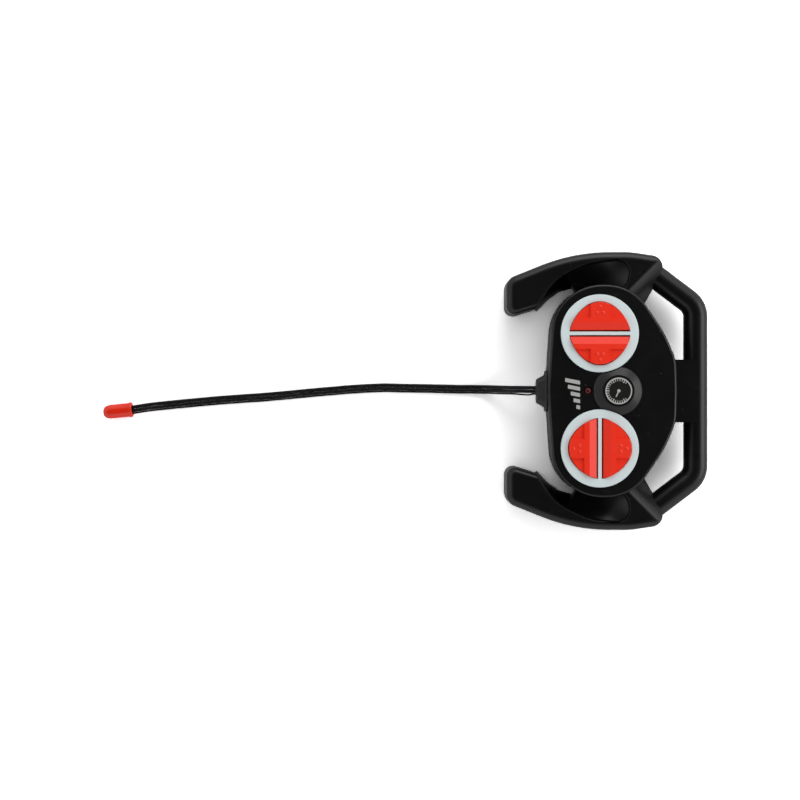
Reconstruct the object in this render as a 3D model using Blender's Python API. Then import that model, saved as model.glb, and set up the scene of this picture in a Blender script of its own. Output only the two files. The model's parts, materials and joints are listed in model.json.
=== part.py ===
"""Hand transmitter of a radio-controlled toy, shaped like a small steering wheel.

Lengths are in metres. +X is the user's right, +Y points forward along the antenna, +Z is up, and the
transmitter lies face up on z = 0. The housing is two moulded shells that part at the middle of the bar.
"""

import math

import bpy
import numpy as np
from mathutils import Vector

MM = 0.001

# Housing
DECK_Z = 30 * MM  # top of the console
PART_Z = 14 * MM  # parting plane, at the middle of the bar
WALL = 2.0 * MM
DECK_THICK = 2.5 * MM
GAP = 0.3 * MM  # between pieces that touch
CONSOLE_HALF = 57 * MM
CONSOLE_FRONT = 32.2 * MM
CONSOLE_REAR = 35.6 * MM
LOBE_R = 26 * MM
LOBE_FRONT = 28.4 * MM  # where the front edge would meet the console's side
LOBE_REAR = 11.6 * MM  # where the haunch's line would meet the console's side, behind the rings
HAUNCH_X = CONSOLE_HALF - 25.5 * MM  # soft corner between a lobe and the rear
HAUNCH_Y = -28.8 * MM
SHOULDER_X = 17 * MM  # where the rear draws in to the tab
SHOULDER_RISE = 0.4 * MM
DECK_EDGE_R = 2.0 * MM
FOOT_EDGE_R = 1.5 * MM

# Grips
GRIP_HALF = 75 * MM  # middle plane to the outside of a grip
HORN_Y = 55.1 * MM  # front of the horns
GRIP_TOP = 26.5 * MM
GRIP_TOP_R = 4.2 * MM
GRIP_FOOT_R = 5.0 * MM
ARM_SLOPE_DROP = 7 * MM
WEB_FOOT = 4 * MM
WEB_LOW = 12 * MM
WEB_HIGH = 25.5 * MM

# Bar and tab
BAR_R = 6.45 * MM
BAR_BACK = 55.1 * MM  # middle of the rings to the back of the bar, along -Y
BAR_HALF = GRIP_HALF - 29 * MM  # half the straight run
BAR_BEND_R = 11 * MM
BAR_BORE_R = 4.2 * MM
TAB_HALF = 17 * MM
TAB_THICK = 11 * MM

# Control rings and buttons
RING_X = 30.7 * MM
RING_Y = 5.8 * MM
RING_R = 20.8 * MM
RING_THICK = 2.2 * MM
RING_PROUD = 0.8 * MM
LEDGE = 2.0 * MM
CROSSBAR = 2.3 * MM
BUTTON_R = 15.8 * MM
BUTTON_GAP = 0.45 * MM
BUTTON_PROUD = 1.5 * MM  # above its ring
BUTTON_POINT = 1.55  # exponent of the half-moon; 2 would be a half circle
FLANGE = 0.9 * MM
FLANGE_THICK = 1.4 * MM
STRIP = 4.0 * MM  # sloped strip beside the crossbar
BAND = 2.8 * MM
TAB_OF_BUTTON = 10.4 * MM
RELIEF = 0.55 * MM
DOT_R = 0.65 * MM
DOT_SPREAD = 3.0 * MM
STEM_R = 2.4 * MM
DOME_H = 3.2 * MM
DOME_R = 4.2 * MM

# Boss, dial and lamp
BOSS_Y = -3.9 * MM
DIAL_R = 7.2 * MM
BOSS_R = 13 * MM
BOSS_TOP_R = DIAL_R + 1.1 * MM
BOSS_H = 3.0 * MM
DIAL_THICK = 0.6 * MM
LED_Y = 12.0 * MM
LED_R = 2.0 * MM
LED_PROUD = 0.9 * MM

# Circuit board
BOARD_Z = 21 * MM  # underside
BOARD_THICK = 1.6 * MM
BOARD_HALF = 50 * MM
BOARD_FRONT = 20 * MM
BOARD_REAR = -12 * MM
BOARD_CORNER_R = 13 * MM
BOARD_POST_X = 43 * MM
BOARD_POST_Y = 13.5 * MM
BOARD_SCREW_R = 1.1 * MM

# Battery compartment and door
CELL_R = 7.25 * MM
CELL_L = 50.5 * MM
CELL_PITCH = 15.3 * MM
CELL_FIRST_Y = -1.2 * MM
CONTACT_ROOM = 3.4 * MM
RIB = 1.5 * MM
DOOR_THICK = 0.9 * MM  # of the plate, and again of the lips it hangs by
DOOR_TOP = 3 * GAP + 2 * DOOR_THICK
CELL_Z = DOOR_TOP + GAP + CELL_R
DOOR_LIP = 2.4 * MM
DOOR_SETBACK = 1.6 * MM  # of the door behind the console's outline
SPRING_WIRE_R = 0.3 * MM
SPRING_TURNS = 3

# Housing screws: x, y and the height of the boss's ceiling
REAR_SCREW_X = CONSOLE_HALF - 20.5 * MM
GRIP_SCREW_X = GRIP_HALF - 19 * MM
GRIP_SCREW_Y = HORN_Y - 11.6 * MM
SCREW_PLACES = {
    "front_left": (-12.5 * MM, 24.5 * MM, DECK_Z - DECK_THICK),
    "front_right": (12.5 * MM, 24.5 * MM, DECK_Z - DECK_THICK),
    "rear_left": (-REAR_SCREW_X, -19.5 * MM, DECK_Z - DECK_THICK),
    "rear_right": (REAR_SCREW_X, -19.5 * MM, DECK_Z - DECK_THICK),
    "grip_left": (-GRIP_SCREW_X, GRIP_SCREW_Y, GRIP_TOP - DECK_THICK),
    "grip_right": (GRIP_SCREW_X, GRIP_SCREW_Y, GRIP_TOP - DECK_THICK),
}
SCREW_R = 1.3 * MM
SCREW_HEAD_R = 2.7 * MM
SCREW_HEAD_H = 2.0 * MM
SCREW_SEAT_Z = 7.0 * MM
SCREW_BITE = 6.0 * MM
BOSS_WALL = 1.4 * MM

# Antenna
BASE_FLANGE = 22.4 * MM
BASE_FLANGE_T = 0.9 * MM
BASE_WIDE = 18 * MM
BASE_TIP = 12.9 * MM
BASE_DEPTH = 5.0 * MM
BASE_H = 14 * MM
NECK_W = 10 * MM
NECK_H = 8 * MM
NECK_RIM = 1.5 * MM
LEAD_R = 1.6 * MM
CAP_R = 4.15 * MM
CAP_L = 16 * MM
CAP_LIP = 0.3 * MM
CAP_NOSE = 4.4 * MM
CAP_BORE_DEPTH = 5 * MM
LEAD_ROUTE = [  # x, y, z in millimetres, from the base's tip to the bore of the cap
    (0.0, 38.4, 14.0),
    (0.0, 43.0, 13.8),
    (0.1, 49.0, 11.6),
    (0.3, 56.0, 7.2),
    (0.6, 63.0, 3.4),
    (0.8, 70.0, 1.9),
    (1.0, 80.0, 1.65),
    (1.3, 100.0, 1.65),
    (1.1, 118.0, 1.65),
    (0.2, 138.0, 1.65),
    (-0.9, 153.0, 1.65),
    (-2.9, 182.0, 1.65),
    (-4.8, 208.0, 1.65),
    (-7.0, 231.0, 1.65),
    (-8.6, 246.0, 2.3),
    (-9.5, 254.0, 3.9),
    (-9.9, 258.0, 4.2),
    (-10.3, 262.0, 4.2),
    (-10.6, 265.0, 4.2),
]
LEAD_STEP = 8.0 * MM

ARC_STEPS = 5
COLLECTION = bpy.context.scene.collection


# ---------------------------------------------------------------- helpers


def clear_scene():
    for old in list(bpy.data.objects):
        bpy.data.objects.remove(old, do_unlink=True)


def material(name, colour, roughness, metallic=0.0):
    made = bpy.data.materials.new(name)
    made.use_nodes = True
    shader = made.node_tree.nodes["Principled BSDF"]
    shader.inputs["Base Color"].default_value = (*colour, 1.0)
    shader.inputs["Roughness"].default_value = roughness
    shader.inputs["Metallic"].default_value = metallic
    return made


def mesh_object(name, verts, faces, finish=None):
    mesh = bpy.data.meshes.new(name)
    mesh.from_pydata([tuple(map(float, v)) for v in verts], [], faces)
    mesh.update()
    made = bpy.data.objects.new(name, mesh)
    COLLECTION.objects.link(made)
    if finish is not None:
        mesh.materials.append(finish)
    return made


def helper(obj):
    """Marks a cutter or a form that is only an operand."""
    obj.hide_render = True
    obj.display_type = "WIRE"
    return obj


def boolean(target, other, operation):
    step = target.modifiers.new(f"{operation.lower()}_{other.name}"[:60], "BOOLEAN")
    step.object = helper(other)
    step.operation = operation
    step.solver = "EXACT"
    return target


def cut(target, *others):
    for other in others:
        boolean(target, other, "DIFFERENCE")
    return target


def fuse(target, *others):
    for other in others:
        boolean(target, other, "UNION")
    return target


def loft(name, sections, finish=None):
    """Closed solid through sections of equal point counts, each counter-clockwise seen from the last one."""
    count = len(sections[0])
    verts = [point for section in sections for point in section]
    faces = [list(range(count))[::-1]]
    for level in range(len(sections) - 1):
        low, high = level * count, (level + 1) * count
        for i in range(count):
            j = (i + 1) % count
            faces.append([low + i, low + j, high + j, high + i])
    faces.append([(len(sections) - 1) * count + i for i in range(count)])
    return mesh_object(name, verts, faces, finish)


def moved_corners(corners, inset):
    """Each side of a corner list (x, y, radius, share) moved inward by inset times its share."""
    count = len(corners)
    sides = []
    for i, (x, y, _, share) in enumerate(corners):
        start, end = Vector((x, y)), Vector(corners[(i + 1) % count][:2])
        along = (end - start).normalized()
        depth = inset * share
        sides.append((start + Vector((-along.y, along.x)) * depth, along, depth))
    moved = []
    for i, (_, _, radius, share) in enumerate(corners):
        (p, d, dp), (q, e, dq) = sides[i - 1], sides[i]
        turn = d.x * e.y - d.y * e.x
        reach = ((q - p).x * e.y - (q - p).y * e.x) / turn
        corner = p + d * reach
        kept = max(radius - math.copysign((dp + dq) / 2, turn), 0.05 * MM)
        moved.append((corner.x, corner.y, kept, share))
    return moved


def rounded_outline(corners, steps=ARC_STEPS):
    """Points round a corner list, with each corner turned through an arc of its radius."""
    points = []
    count = len(corners)
    for i, (x, y, radius, _) in enumerate(corners):
        here = Vector((x, y))
        back = (here - Vector(corners[i - 1][:2])).normalized()
        ahead = (Vector(corners[(i + 1) % count][:2]) - here).normalized()
        turn = math.atan2(back.x * ahead.y - back.y * ahead.x, back.dot(ahead))
        reach = abs(radius * math.tan(turn / 2))
        side = Vector((-back.y, back.x)) * math.copysign(radius, turn)
        centre = here - back * reach + side
        for k in range(steps + 1):
            angle = turn * k / steps
            spoke = -side
            points.append(
                (
                    centre.x + spoke.x * math.cos(angle) - spoke.y * math.sin(angle),
                    centre.y + spoke.x * math.sin(angle) + spoke.y * math.cos(angle),
                )
            )
    return points


def edge_levels(low, high, low_r, high_r, steps=3):
    """(z, inset) levels of an upright solid whose bottom and top edges are quarter rounds."""
    levels = []
    for k in range(steps + 1):
        angle = math.pi / 2 * k / steps
        levels.append((low + low_r * (1 - math.sin(angle)), low_r * (1 - math.cos(angle))))
    levels.reverse()
    levels[0], levels[-1] = (low, low_r), (low + low_r, 0.0)
    for k in range(steps + 1):
        angle = math.pi / 2 * k / steps
        levels.append((high - high_r * (1 - math.sin(angle)), high_r * (1 - math.cos(angle))))
    return levels


def moulding(name, corners, levels, steps=ARC_STEPS, finish=None):
    sections = []
    for z, inset in levels:
        outline = rounded_outline(moved_corners(corners, inset), steps)
        sections.append([(x, y, z) for x, y in outline])
    return loft(name, sections, finish)


def turned(name, profile, centre, steps=24, finish=None):
    """Solid of revolution about a vertical axis; profile is (radius, z) from the bottom up."""
    x0, y0 = centre
    sections = [
        [
            (x0 + r * math.cos(a), y0 + r * math.sin(a), z)
            for a in np.linspace(0, 2 * math.pi, steps, endpoint=False)
        ]
        for r, z in profile
    ]
    return loft(name, sections, finish)


def turned_along(name, profile, start, axis, steps=20, finish=None):
    """The same about a level axis; profile is (radius, distance from start along the axis)."""
    axis = Vector(axis).normalized()
    across, up = Vector((-axis.y, axis.x, 0)), Vector((0, 0, 1))
    sections = [
        [
            Vector(start) + axis * reach + r * (across * math.cos(a) + up * math.sin(a))
            for a in np.linspace(0, 2 * math.pi, steps, endpoint=False)
        ]
        for r, reach in profile
    ]
    return loft(name, sections, finish)


def block(name, low, high, finish=None):
    (x0, y0, z0), (x1, y1, z1) = low, high
    ring = [(x0, y0), (x1, y0), (x1, y1), (x0, y1)]
    return loft(name, [[(x, y, z) for x, y in ring] for z in (z0, z1)], finish)


def mirrored(corners):
    """A corner list reflected in x = 0, still counter-clockwise."""
    count = len(corners)
    return [
        (-corners[i][0], corners[i][1], corners[i][2], corners[i - 1][3])
        for i in range(count - 1, -1, -1)
    ]


def flat_tube(name, path, radius, sides):
    """Tube along a level path; each section stands square to the path."""
    path = [Vector(p) for p in path]
    sections = []
    for i, point in enumerate(path):
        along = (path[min(i + 1, len(path) - 1)] - path[max(i - 1, 0)]).normalized()
        across = Vector((along.y, -along.x, 0))
        sections.append(
            [
                point + radius * (across * math.cos(a) + Vector((0, 0, math.sin(a))))
                for a in np.linspace(0, 2 * math.pi, sides, endpoint=False)
            ]
        )
    return loft(name, [s[::-1] for s in sections])


def smooth_route(points, step):
    """Catmull-Rom curve through the points, read about every step."""
    pts = np.array(points, float)
    padded = np.vstack([2 * pts[0] - pts[1], pts, 2 * pts[-1] - pts[-2]])
    read = []
    for a, b, c, d in zip(padded, padded[1:], padded[2:], padded[3:]):
        count = max(1, round(float(np.linalg.norm(c - b)) / step))
        for t in np.arange(count) / count:
            bend = (2 * a - 5 * b + 4 * c - d) * t**2 + (3 * b - 3 * c + d - a) * t**3
            read.append(0.5 * (2 * b + (c - a) * t + bend))
    return np.array([*read, pts[-1]])


def cord(name, points, radius, finish, resolution=2):
    curve = bpy.data.curves.new(name, "CURVE")
    curve.dimensions = "3D"
    curve.bevel_depth = radius
    curve.bevel_resolution = resolution
    curve.use_fill_caps = True
    spline = curve.splines.new("POLY")
    spline.points.add(len(points) - 1)
    for point, place in zip(spline.points, points):
        point.co = (*map(float, place), 1.0)
    curve.materials.append(finish)
    made = bpy.data.objects.new(name, curve)
    COLLECTION.objects.link(made)
    return made


def set_origin(obj, place):
    """Moves an object's origin to its joint axis and leaves its shape where it is."""
    shift = Vector(place)
    for vertex in obj.data.vertices:
        vertex.co -= shift
    obj.location = shift
    return obj


def shade(obj, angle=35):
    obj.data.shade_smooth()
    obj.data.set_sharp_from_angle(angle=math.radians(angle))


# ---------------------------------------------------------------- housing form


def console_corners():
    """Deck outline: a front that bulges slightly, a lobe round each ring, and a rear drawn in to the tab."""
    right = [
        (SHOULDER_X, SHOULDER_RISE - CONSOLE_REAR, 24 * MM, 1),
        (HAUNCH_X, HAUNCH_Y, 60 * MM, 1),
        (CONSOLE_HALF, -LOBE_REAR, LOBE_R, 1),
        (CONSOLE_HALF, LOBE_FRONT, LOBE_R, 1),
    ]
    front = [(0, CONSOLE_FRONT, 60 * MM, 1)]
    left = [(-x, y, r, s) for x, y, r, s in reversed(right)]
    rear = [(0, -CONSOLE_REAR, 60 * MM, 1)]
    return right + front + left + rear


def grip_corners():
    """Right grip from above: outer edge, horn, the edge of the thumb scoop, and the arm into the console."""
    crisp, buried = 0.22, 0.0
    out = GRIP_HALF
    root = min(CONSOLE_HALF - 7 * MM, out - 25 * MM)
    return [
        (out - 2.9 * MM, -31.6 * MM, 6.4 * MM, 1),
        (out, -12 * MM, 50 * MM, 1),
        (out, 18.5 * MM, 100 * MM, 1),
        (out - 14.7 * MM, HORN_Y, 7 * MM, 1),
        (out - 35.6 * MM, HORN_Y, 4.8 * MM, 0.7),
        (out - 30.8 * MM, HORN_Y - 15.9 * MM, 2.5 * MM, crisp),
        (out - 14.8 * MM, HORN_Y - 26.1 * MM, 34 * MM, crisp),
        (out - 6.0 * MM, 9.2 * MM, 34 * MM, crisp),
        (out - 4.8 * MM, -11.2 * MM, 6.2 * MM, crisp),
        (out - 17.8 * MM, -9.6 * MM, 7.0 * MM, crisp),
        (root, 2 * MM, 1 * MM, buried),
        (root - 12 * MM, -10 * MM, 1 * MM, buried),
        (root - 8 * MM, -18.9 * MM, 1 * MM, crisp),
        (out - 19 * MM, -25.4 * MM, 6 * MM, crisp),
    ]


def horn_room_corners():
    """Hollow of the right horn, a wall inside its outline."""
    out = GRIP_HALF - WALL
    front = HORN_Y - 1.4 * WALL
    return [
        (out - 2.6 * MM, 21 * MM, 1.5 * MM, 1),
        (out - 13.6 * MM, front, 5 * MM, 1),
        (out - 29.6 * MM, front, 3 * MM, 1),
        (out - 25.8 * MM, front - 11.3 * MM, 2 * MM, 1),
        (out - 10.8 * MM, front - 20.8 * MM, 12 * MM, 1),
        (out - 6.4 * MM, 21 * MM, 1 * MM, 1),
    ]


def slope_cutter(name, side):
    """Wedge above the arm's rear slope, which falls from a crease toward the window."""
    crease, run = (GRIP_HALF - 15.3 * MM, -16.9 * MM), 6.8 * MM
    along, down = Vector((0.7071, -0.7071, 0)), Vector((-0.7071, -0.7071, 0))
    top = Vector((*crease, GRIP_TOP))
    fall = Vector((0, 0, -ARM_SLOPE_DROP))
    far = 3.0
    section = [
        top,
        top + (down * run + fall) * far,
        top + (down * run + fall) * far + Vector((0, 0, 40 * MM)),
        top + Vector((0, 0, 20 * MM)),
    ]
    ends = [[point + along * reach for point in section] for reach in (-30 * MM, 26 * MM)]
    if side < 0:
        return loft(name, [[Vector((-p.x, p.y, p.z)) for p in end] for end in ends])
    return loft(name, [end[::-1] for end in ends])


def web(name, side):
    """Thumb scoop: low at its open front, rising to the arm behind and curling up beside the rim."""
    rows, columns = 7, 5
    root, rim = CONSOLE_HALF - 10 * MM, GRIP_HALF - 2.6 * MM
    corners = np.array([[root, 20 * MM], [rim - 7 * MM, 23.5 * MM], [rim, -12 * MM], [root, -12 * MM]])
    top, foot = [], []
    for i in range(rows):
        t = i / (rows - 1)
        for j in range(columns):
            s = j / (columns - 1)
            front = corners[0] * (1 - s) + corners[1] * s
            rear = corners[3] * (1 - s) + corners[2] * s
            x, y = front * (1 - t) + rear * t
            z = WEB_LOW + (WEB_HIGH - WEB_LOW) * t**1.8 + 3.5 * MM * s**4 * (1 - t)
            top.append((side * x, y, z))
            foot.append((side * x, y, WEB_FOOT))
    half = rows * columns
    faces = []
    for i in range(rows - 1):
        for j in range(columns - 1):
            a = i * columns + j
            quad = [a, a + columns, a + columns + 1, a + 1]
            faces.append(quad)
            faces.append([half + k for k in reversed(quad)])
    edge = [i * columns for i in range(rows)]
    edge += [(rows - 1) * columns + j for j in range(1, columns)]
    edge += [i * columns + columns - 1 for i in range(rows - 2, -1, -1)]
    edge += list(range(columns - 2, 0, -1))
    for a, b in zip(edge, edge[1:] + edge[:1]):
        faces.append([a, half + a, half + b, b])
    if side < 0:
        faces = [face[::-1] for face in faces]
    return mesh_object(name, top + foot, faces)


def bar_path(overrun):
    """Middle line of the bar: from inside one grip, round two bends, into the other."""
    y = -(BAR_BACK - BAR_R)
    slant = Vector((17.0, 22.5, 0)).normalized()
    end = Vector((BAR_HALF, y, 0)) + slant * (28.2 * MM + overrun)
    corners = [(end.x, end.y), (BAR_HALF, y), (-BAR_HALF, y), (-end.x, end.y)]
    path = [Vector((*corners[0], PART_Z))]
    for before, here, after in zip(corners, corners[1:], corners[2:]):
        back = (Vector(here) - Vector(before)).normalized()
        ahead = (Vector(after) - Vector(here)).normalized()
        turn = math.atan2(back.x * ahead.y - back.y * ahead.x, back.dot(ahead))
        side = Vector((-back.y, back.x)) * math.copysign(BAR_BEND_R, turn)
        centre = Vector(here) - back * abs(BAR_BEND_R * math.tan(turn / 2)) + side
        for k in range(ARC_STEPS + 1):
            angle = turn * k / ARC_STEPS
            spoke = -side
            path.append(
                Vector(
                    (
                        centre.x + spoke.x * math.cos(angle) - spoke.y * math.sin(angle),
                        centre.y + spoke.x * math.sin(angle) + spoke.y * math.cos(angle),
                        PART_Z,
                    )
                )
            )
    path.append(Vector((*corners[3], PART_Z)))
    return path


def housing_form():
    """Outside of both shells together."""
    form = moulding(
        "console_form", console_corners(), edge_levels(0, DECK_Z, FOOT_EDGE_R, DECK_EDGE_R)
    )
    crest = PART_Z + BAR_R
    tab = block(
        "tab_form",
        (-TAB_HALF, -(BAR_BACK - BAR_R) - 0.6 * MM, crest - TAB_THICK),
        (TAB_HALF, -CONSOLE_REAR + 4 * MM, crest + 0.1 * MM),
    )
    fuse(form, flat_tube("bar_form", bar_path(5 * MM), BAR_R, 14), tab)
    for side, word in ((1, "right"), (-1, "left")):
        corners = grip_corners() if side > 0 else mirrored(grip_corners())
        levels = edge_levels(0, GRIP_TOP, GRIP_FOOT_R, GRIP_TOP_R, 2)
        grip = moulding(f"grip_form_{word}", corners, levels, 3)
        cut(grip, slope_cutter(f"slope_cutter_{word}", side))
        fuse(form, grip, web(f"web_form_{word}", side))
    return helper(form)


def cavity_forms():
    """Room inside the console, the horns and the bar."""
    levels = [(WALL, WALL), (DECK_Z - DECK_THICK, WALL)]
    rooms = [moulding("console_room", console_corners(), levels)]
    rooms.append(flat_tube("bar_room", bar_path(0), BAR_BORE_R, 8))
    for side, word in ((1, "right"), (-1, "left")):
        corners = horn_room_corners() if side > 0 else mirrored(horn_room_corners())
        levels = [(WALL, 0), (GRIP_TOP - DECK_THICK, 0)]
        rooms.append(moulding(f"horn_room_{word}", corners, levels, 3))
    return [helper(each) for each in rooms]


def column(name, place, radius, low, high, steps=12):
    return turned(name, [(radius, low), (radius, high)], place, steps)


def half_of(name, form, low, high, finish):
    reach = 100 * MM
    made = block(name, (-reach, -reach, low), (reach, reach, high), finish)
    return boolean(made, form, "INTERSECT")


def neck_hole(name):
    half_w, half_h = NECK_W / 2 + GAP, NECK_H / 2 + GAP
    inner = CONSOLE_FRONT - 3 * WALL
    return block(
        name,
        (-half_w, inner, PART_Z - half_h),
        (half_w, CONSOLE_FRONT + WALL, PART_Z + half_h),
    )


def top_shell(form, rooms, finish):
    shell = half_of("top_shell", form, PART_Z + GAP / 2, DECK_Z + 5 * MM, finish)
    cut(shell, *rooms)
    boss_profile = [
        (BOSS_R, DECK_Z - 1 * MM),
        (BOSS_R, DECK_Z + 0.1 * MM),
        (BOSS_R - 0.9 * MM, DECK_Z + 1.4 * MM),
        (BOSS_TOP_R + 0.8 * MM, DECK_Z + BOSS_H - 0.4 * MM),
        (BOSS_TOP_R, DECK_Z + BOSS_H),
    ]
    fuse(shell, turned("dial_boss", boss_profile, (0, BOSS_Y), 32))
    for word, (x, y, ceiling) in SCREW_PLACES.items():
        radius = SCREW_R + GAP + BOSS_WALL
        fuse(shell, column(f"top_boss_{word}", (x, y), radius, PART_Z + GAP / 2, ceiling + 1 * MM))
    for word, (x, y, _) in SCREW_PLACES.items():
        top = PART_Z + SCREW_BITE + 2 * GAP
        cut(shell, column(f"pilot_{word}", (x, y), SCREW_R + GAP, PART_Z - 1 * MM, top, 12))
    seat = DECK_Z + RING_PROUD - RING_THICK - GAP
    for side, word in ((1, "right"), (-1, "left")):
        centre = (side * RING_X, RING_Y)
        cut(shell, column(f"ring_hole_{word}", centre, RING_R - LEDGE, 20 * MM, DECK_Z + 9 * MM, 28))
        cut(shell, column(f"ring_seat_{word}", centre, RING_R + GAP, seat, DECK_Z + 9 * MM, 36))
    cut(shell, column("lamp_hole", (0, LED_Y), LED_R + GAP, 20 * MM, DECK_Z + 9 * MM, 20))
    dial_floor = DECK_Z + BOSS_H - DIAL_THICK - GAP
    cut(shell, column("dial_recess", (0, BOSS_Y), DIAL_R + GAP, dial_floor, DECK_Z + 9 * MM, 32))
    return cut(shell, neck_hole("neck_hole_top"))


def tub_limits():
    """Inside of the battery compartment: low and high corners."""
    half = CELL_L / 2 + CONTACT_ROOM
    front = CELL_FIRST_Y + CELL_R + GAP
    rear = CELL_FIRST_Y - CELL_PITCH - CELL_R - GAP
    return (-half, rear, WALL), (half, front, CELL_Z + CELL_R + 2 * GAP)


def bottom_shell(form, rooms, finish):
    shell = half_of("bottom_shell", form, -5 * MM, PART_Z - GAP / 2, finish)
    cut(shell, *rooms)
    (x0, y0, _), (x1, y1, z1) = tub_limits()
    fuse(shell, block("tub_form", (x0 - RIB, y0 - RIB, 0.5 * WALL), (x1 + RIB, y1 + RIB, z1 + RIB)))
    posts = []
    for side in (1, -1):
        place = (side * BOARD_POST_X, BOARD_POST_Y)
        posts.append((side, place))
        radius = BOARD_SCREW_R + GAP + BOSS_WALL
        fuse(shell, column(f"board_post_{side}", place, radius, 0.5 * WALL, BOARD_Z - GAP))
    for word, (x, y, _) in SCREW_PLACES.items():
        radius = SCREW_HEAD_R + GAP + BOSS_WALL
        fuse(shell, column(f"low_boss_{word}", (x, y), radius, 0.5 * WALL, PART_Z - GAP / 2))
    cut(shell, block("tub_room", (x0, y0, WALL), (x1, y1, z1)))
    lip_z = GAP + DOOR_THICK + GAP
    back = -CONSOLE_REAR - 5 * MM
    cut(shell, block("door_way", (x0 + DOOR_LIP, back, -2 * MM), (x1 - DOOR_LIP, y1, lip_z + MM)))
    cut(shell, block("door_groove", (x0, back, lip_z), (x1, y1, lip_z + DOOR_THICK + 2 * GAP)))
    for side, place in posts:
        deep = BOARD_Z - 7 * MM
        cut(shell, column(f"board_bore_{side}", place, BOARD_SCREW_R + GAP, deep, 40 * MM, 12))
    for word, (x, y, _) in SCREW_PLACES.items():
        cut(shell, column(f"counterbore_{word}", (x, y), SCREW_HEAD_R + GAP, -2 * MM, SCREW_SEAT_Z))
        cut(shell, column(f"clear_{word}", (x, y), SCREW_R + GAP, 0, 20 * MM, 12))
    return cut(shell, neck_hole("neck_hole_bottom"))


# ---------------------------------------------------------------- door, screws and cells


def battery_door(finish):
    """Plate that hangs on two side lips and slides out to the rear, with thumb ridges cut across it."""
    (x0, y0, _), (x1, y1, _) = tub_limits()
    rear = -CONSOLE_REAR
    front = y1 - GAP
    lip_z = 2 * GAP + DOOR_THICK
    low, high = GAP, DOOR_TOP
    inner = x1 - DOOR_LIP - GAP
    door = block("battery_door", (-inner, rear, low), (inner, front, lip_z + 0.5 * DOOR_THICK), finish)
    fuse(door, block("door_lips", (x0 + GAP, rear, lip_z + GAP), (x1 - GAP, front, high)))
    limits = [(low - WALL, DOOR_SETBACK), (high + WALL, DOOR_SETBACK)]
    boolean(door, moulding("door_outline", console_corners(), limits), "INTERSECT")
    for k in range(4):
        y = rear + (5 + 2.2 * k) * MM
        cut(door, block(f"ridge_{k}", (-9 * MM, y, 0), (9 * MM, y + 1.1 * MM, low + 0.45 * MM)))
    return set_origin(door, (0, rear, low))


def screw(name, place, seat, length, shank_r, head_r, head_h, finish, head_up=False):
    """Pan head with a cross slot; the shank runs away from the head."""
    x, y = place
    profile = [(0.75 * head_r, 0), (head_r, 0.35 * head_h), (head_r, head_h), (shank_r, head_h)]
    profile += [(shank_r, head_h + 0.9 * length), (0.4 * shank_r, head_h + length)]
    slot = 0.55 * head_h
    if head_up:
        levels = [(r, seat + head_h - z) for r, z in reversed(profile)]
        slot_z = (seat + head_h - slot, seat + 2 * head_h)
    else:
        levels = [(r, seat - head_h + z) for r, z in profile]
        slot_z = (seat - 2 * head_h, seat - head_h + slot)
    made = turned(name, levels, place, 8, finish)
    arm, half = 0.62 * head_r, 0.14 * head_r
    for k, (dx, dy) in enumerate(((arm, half), (half, arm))):
        low, high = (x - dx, y - dy, slot_z[0]), (x + dx, y + dy, slot_z[1])
        cut(made, block(f"{name}_slot_{k}", low, high))
    return made


def cells_and_contacts(paint, steel):
    """Two cells lying across the housing, a plate at each positive end and a spring at each negative end."""
    half = CELL_L / 2
    nub_r, nub_l = 2.75 * MM, 1.4 * MM
    for k, word in enumerate(("front", "rear")):
        y = CELL_FIRST_Y - k * CELL_PITCH
        way = 1 if k == 0 else -1
        profile = [(CELL_R - 0.4 * MM, -half), (CELL_R, -half + 0.4 * MM)]
        profile += [(CELL_R, half - nub_l - 0.4 * MM), (CELL_R - 0.4 * MM, half - nub_l)]
        profile += [(nub_r, half - nub_l), (nub_r, half)]
        if way < 0:
            profile = [(r, -x) for r, x in reversed(profile)]
        turned_along(f"battery_{word}", profile, (0, y, CELL_Z), (1, 0, 0), 20, paint)
        plate_t, plate_half = 0.4 * MM, 5.0 * MM
        wall_x = half + CONTACT_ROOM
        flat = sorted((way * (half + GAP), way * (half + GAP + plate_t)))
        low = (flat[0], y - plate_half, CELL_Z - plate_half)
        high = (flat[1], y + plate_half, CELL_Z + plate_half)
        plate = block(f"plate_contact_{word}", low, high, steel)
        back = sorted((way * (half + GAP + 0.5 * plate_t), way * (wall_x - GAP)))
        tail = (back[0], y - MM, CELL_Z - MM), (back[1], y + MM, CELL_Z + MM)
        fuse(plate, block(f"plate_tail_{word}", *tail))
        start, end = -way * (wall_x - GAP - SPRING_WIRE_R), -way * (half + GAP + SPRING_WIRE_R)
        battery_spring(f"spring_contact_{word}", start, end, y, steel)


def battery_spring(name, start, end, y, steel):
    """Cone of wire between the compartment's wall and a cell's negative end."""
    count = 8 * SPRING_TURNS
    points = []
    for k in range(count + 1):
        t = k / count
        radius = (4.2 - 1.6 * t) * MM
        angle = 2 * math.pi * SPRING_TURNS * t
        x = start + (end - start) * t
        points.append((x, y + radius * math.cos(angle), CELL_Z + radius * math.sin(angle)))
    cord(name, points, SPRING_WIRE_R, steel, 1)


# ---------------------------------------------------------------- controls


def moon(radius, grow_round, grow_flat, steps=12):
    """Half-moon outline: flat side on y = -grow_flat, pointed bow toward +y, counter-clockwise."""
    reach = radius + grow_round
    points = []
    for k in range(steps + 1):
        t = math.pi * k / steps
        c, s = math.cos(t), math.sin(t)
        x = math.copysign(abs(c) ** (2 / BUTTON_POINT), c) * reach
        y = abs(s) ** (2 / BUTTON_POINT) * reach
        points.append((x, y))
    if grow_flat > 0:
        points = [(reach, -grow_flat), *points, (-reach, -grow_flat)]
    return points


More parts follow.
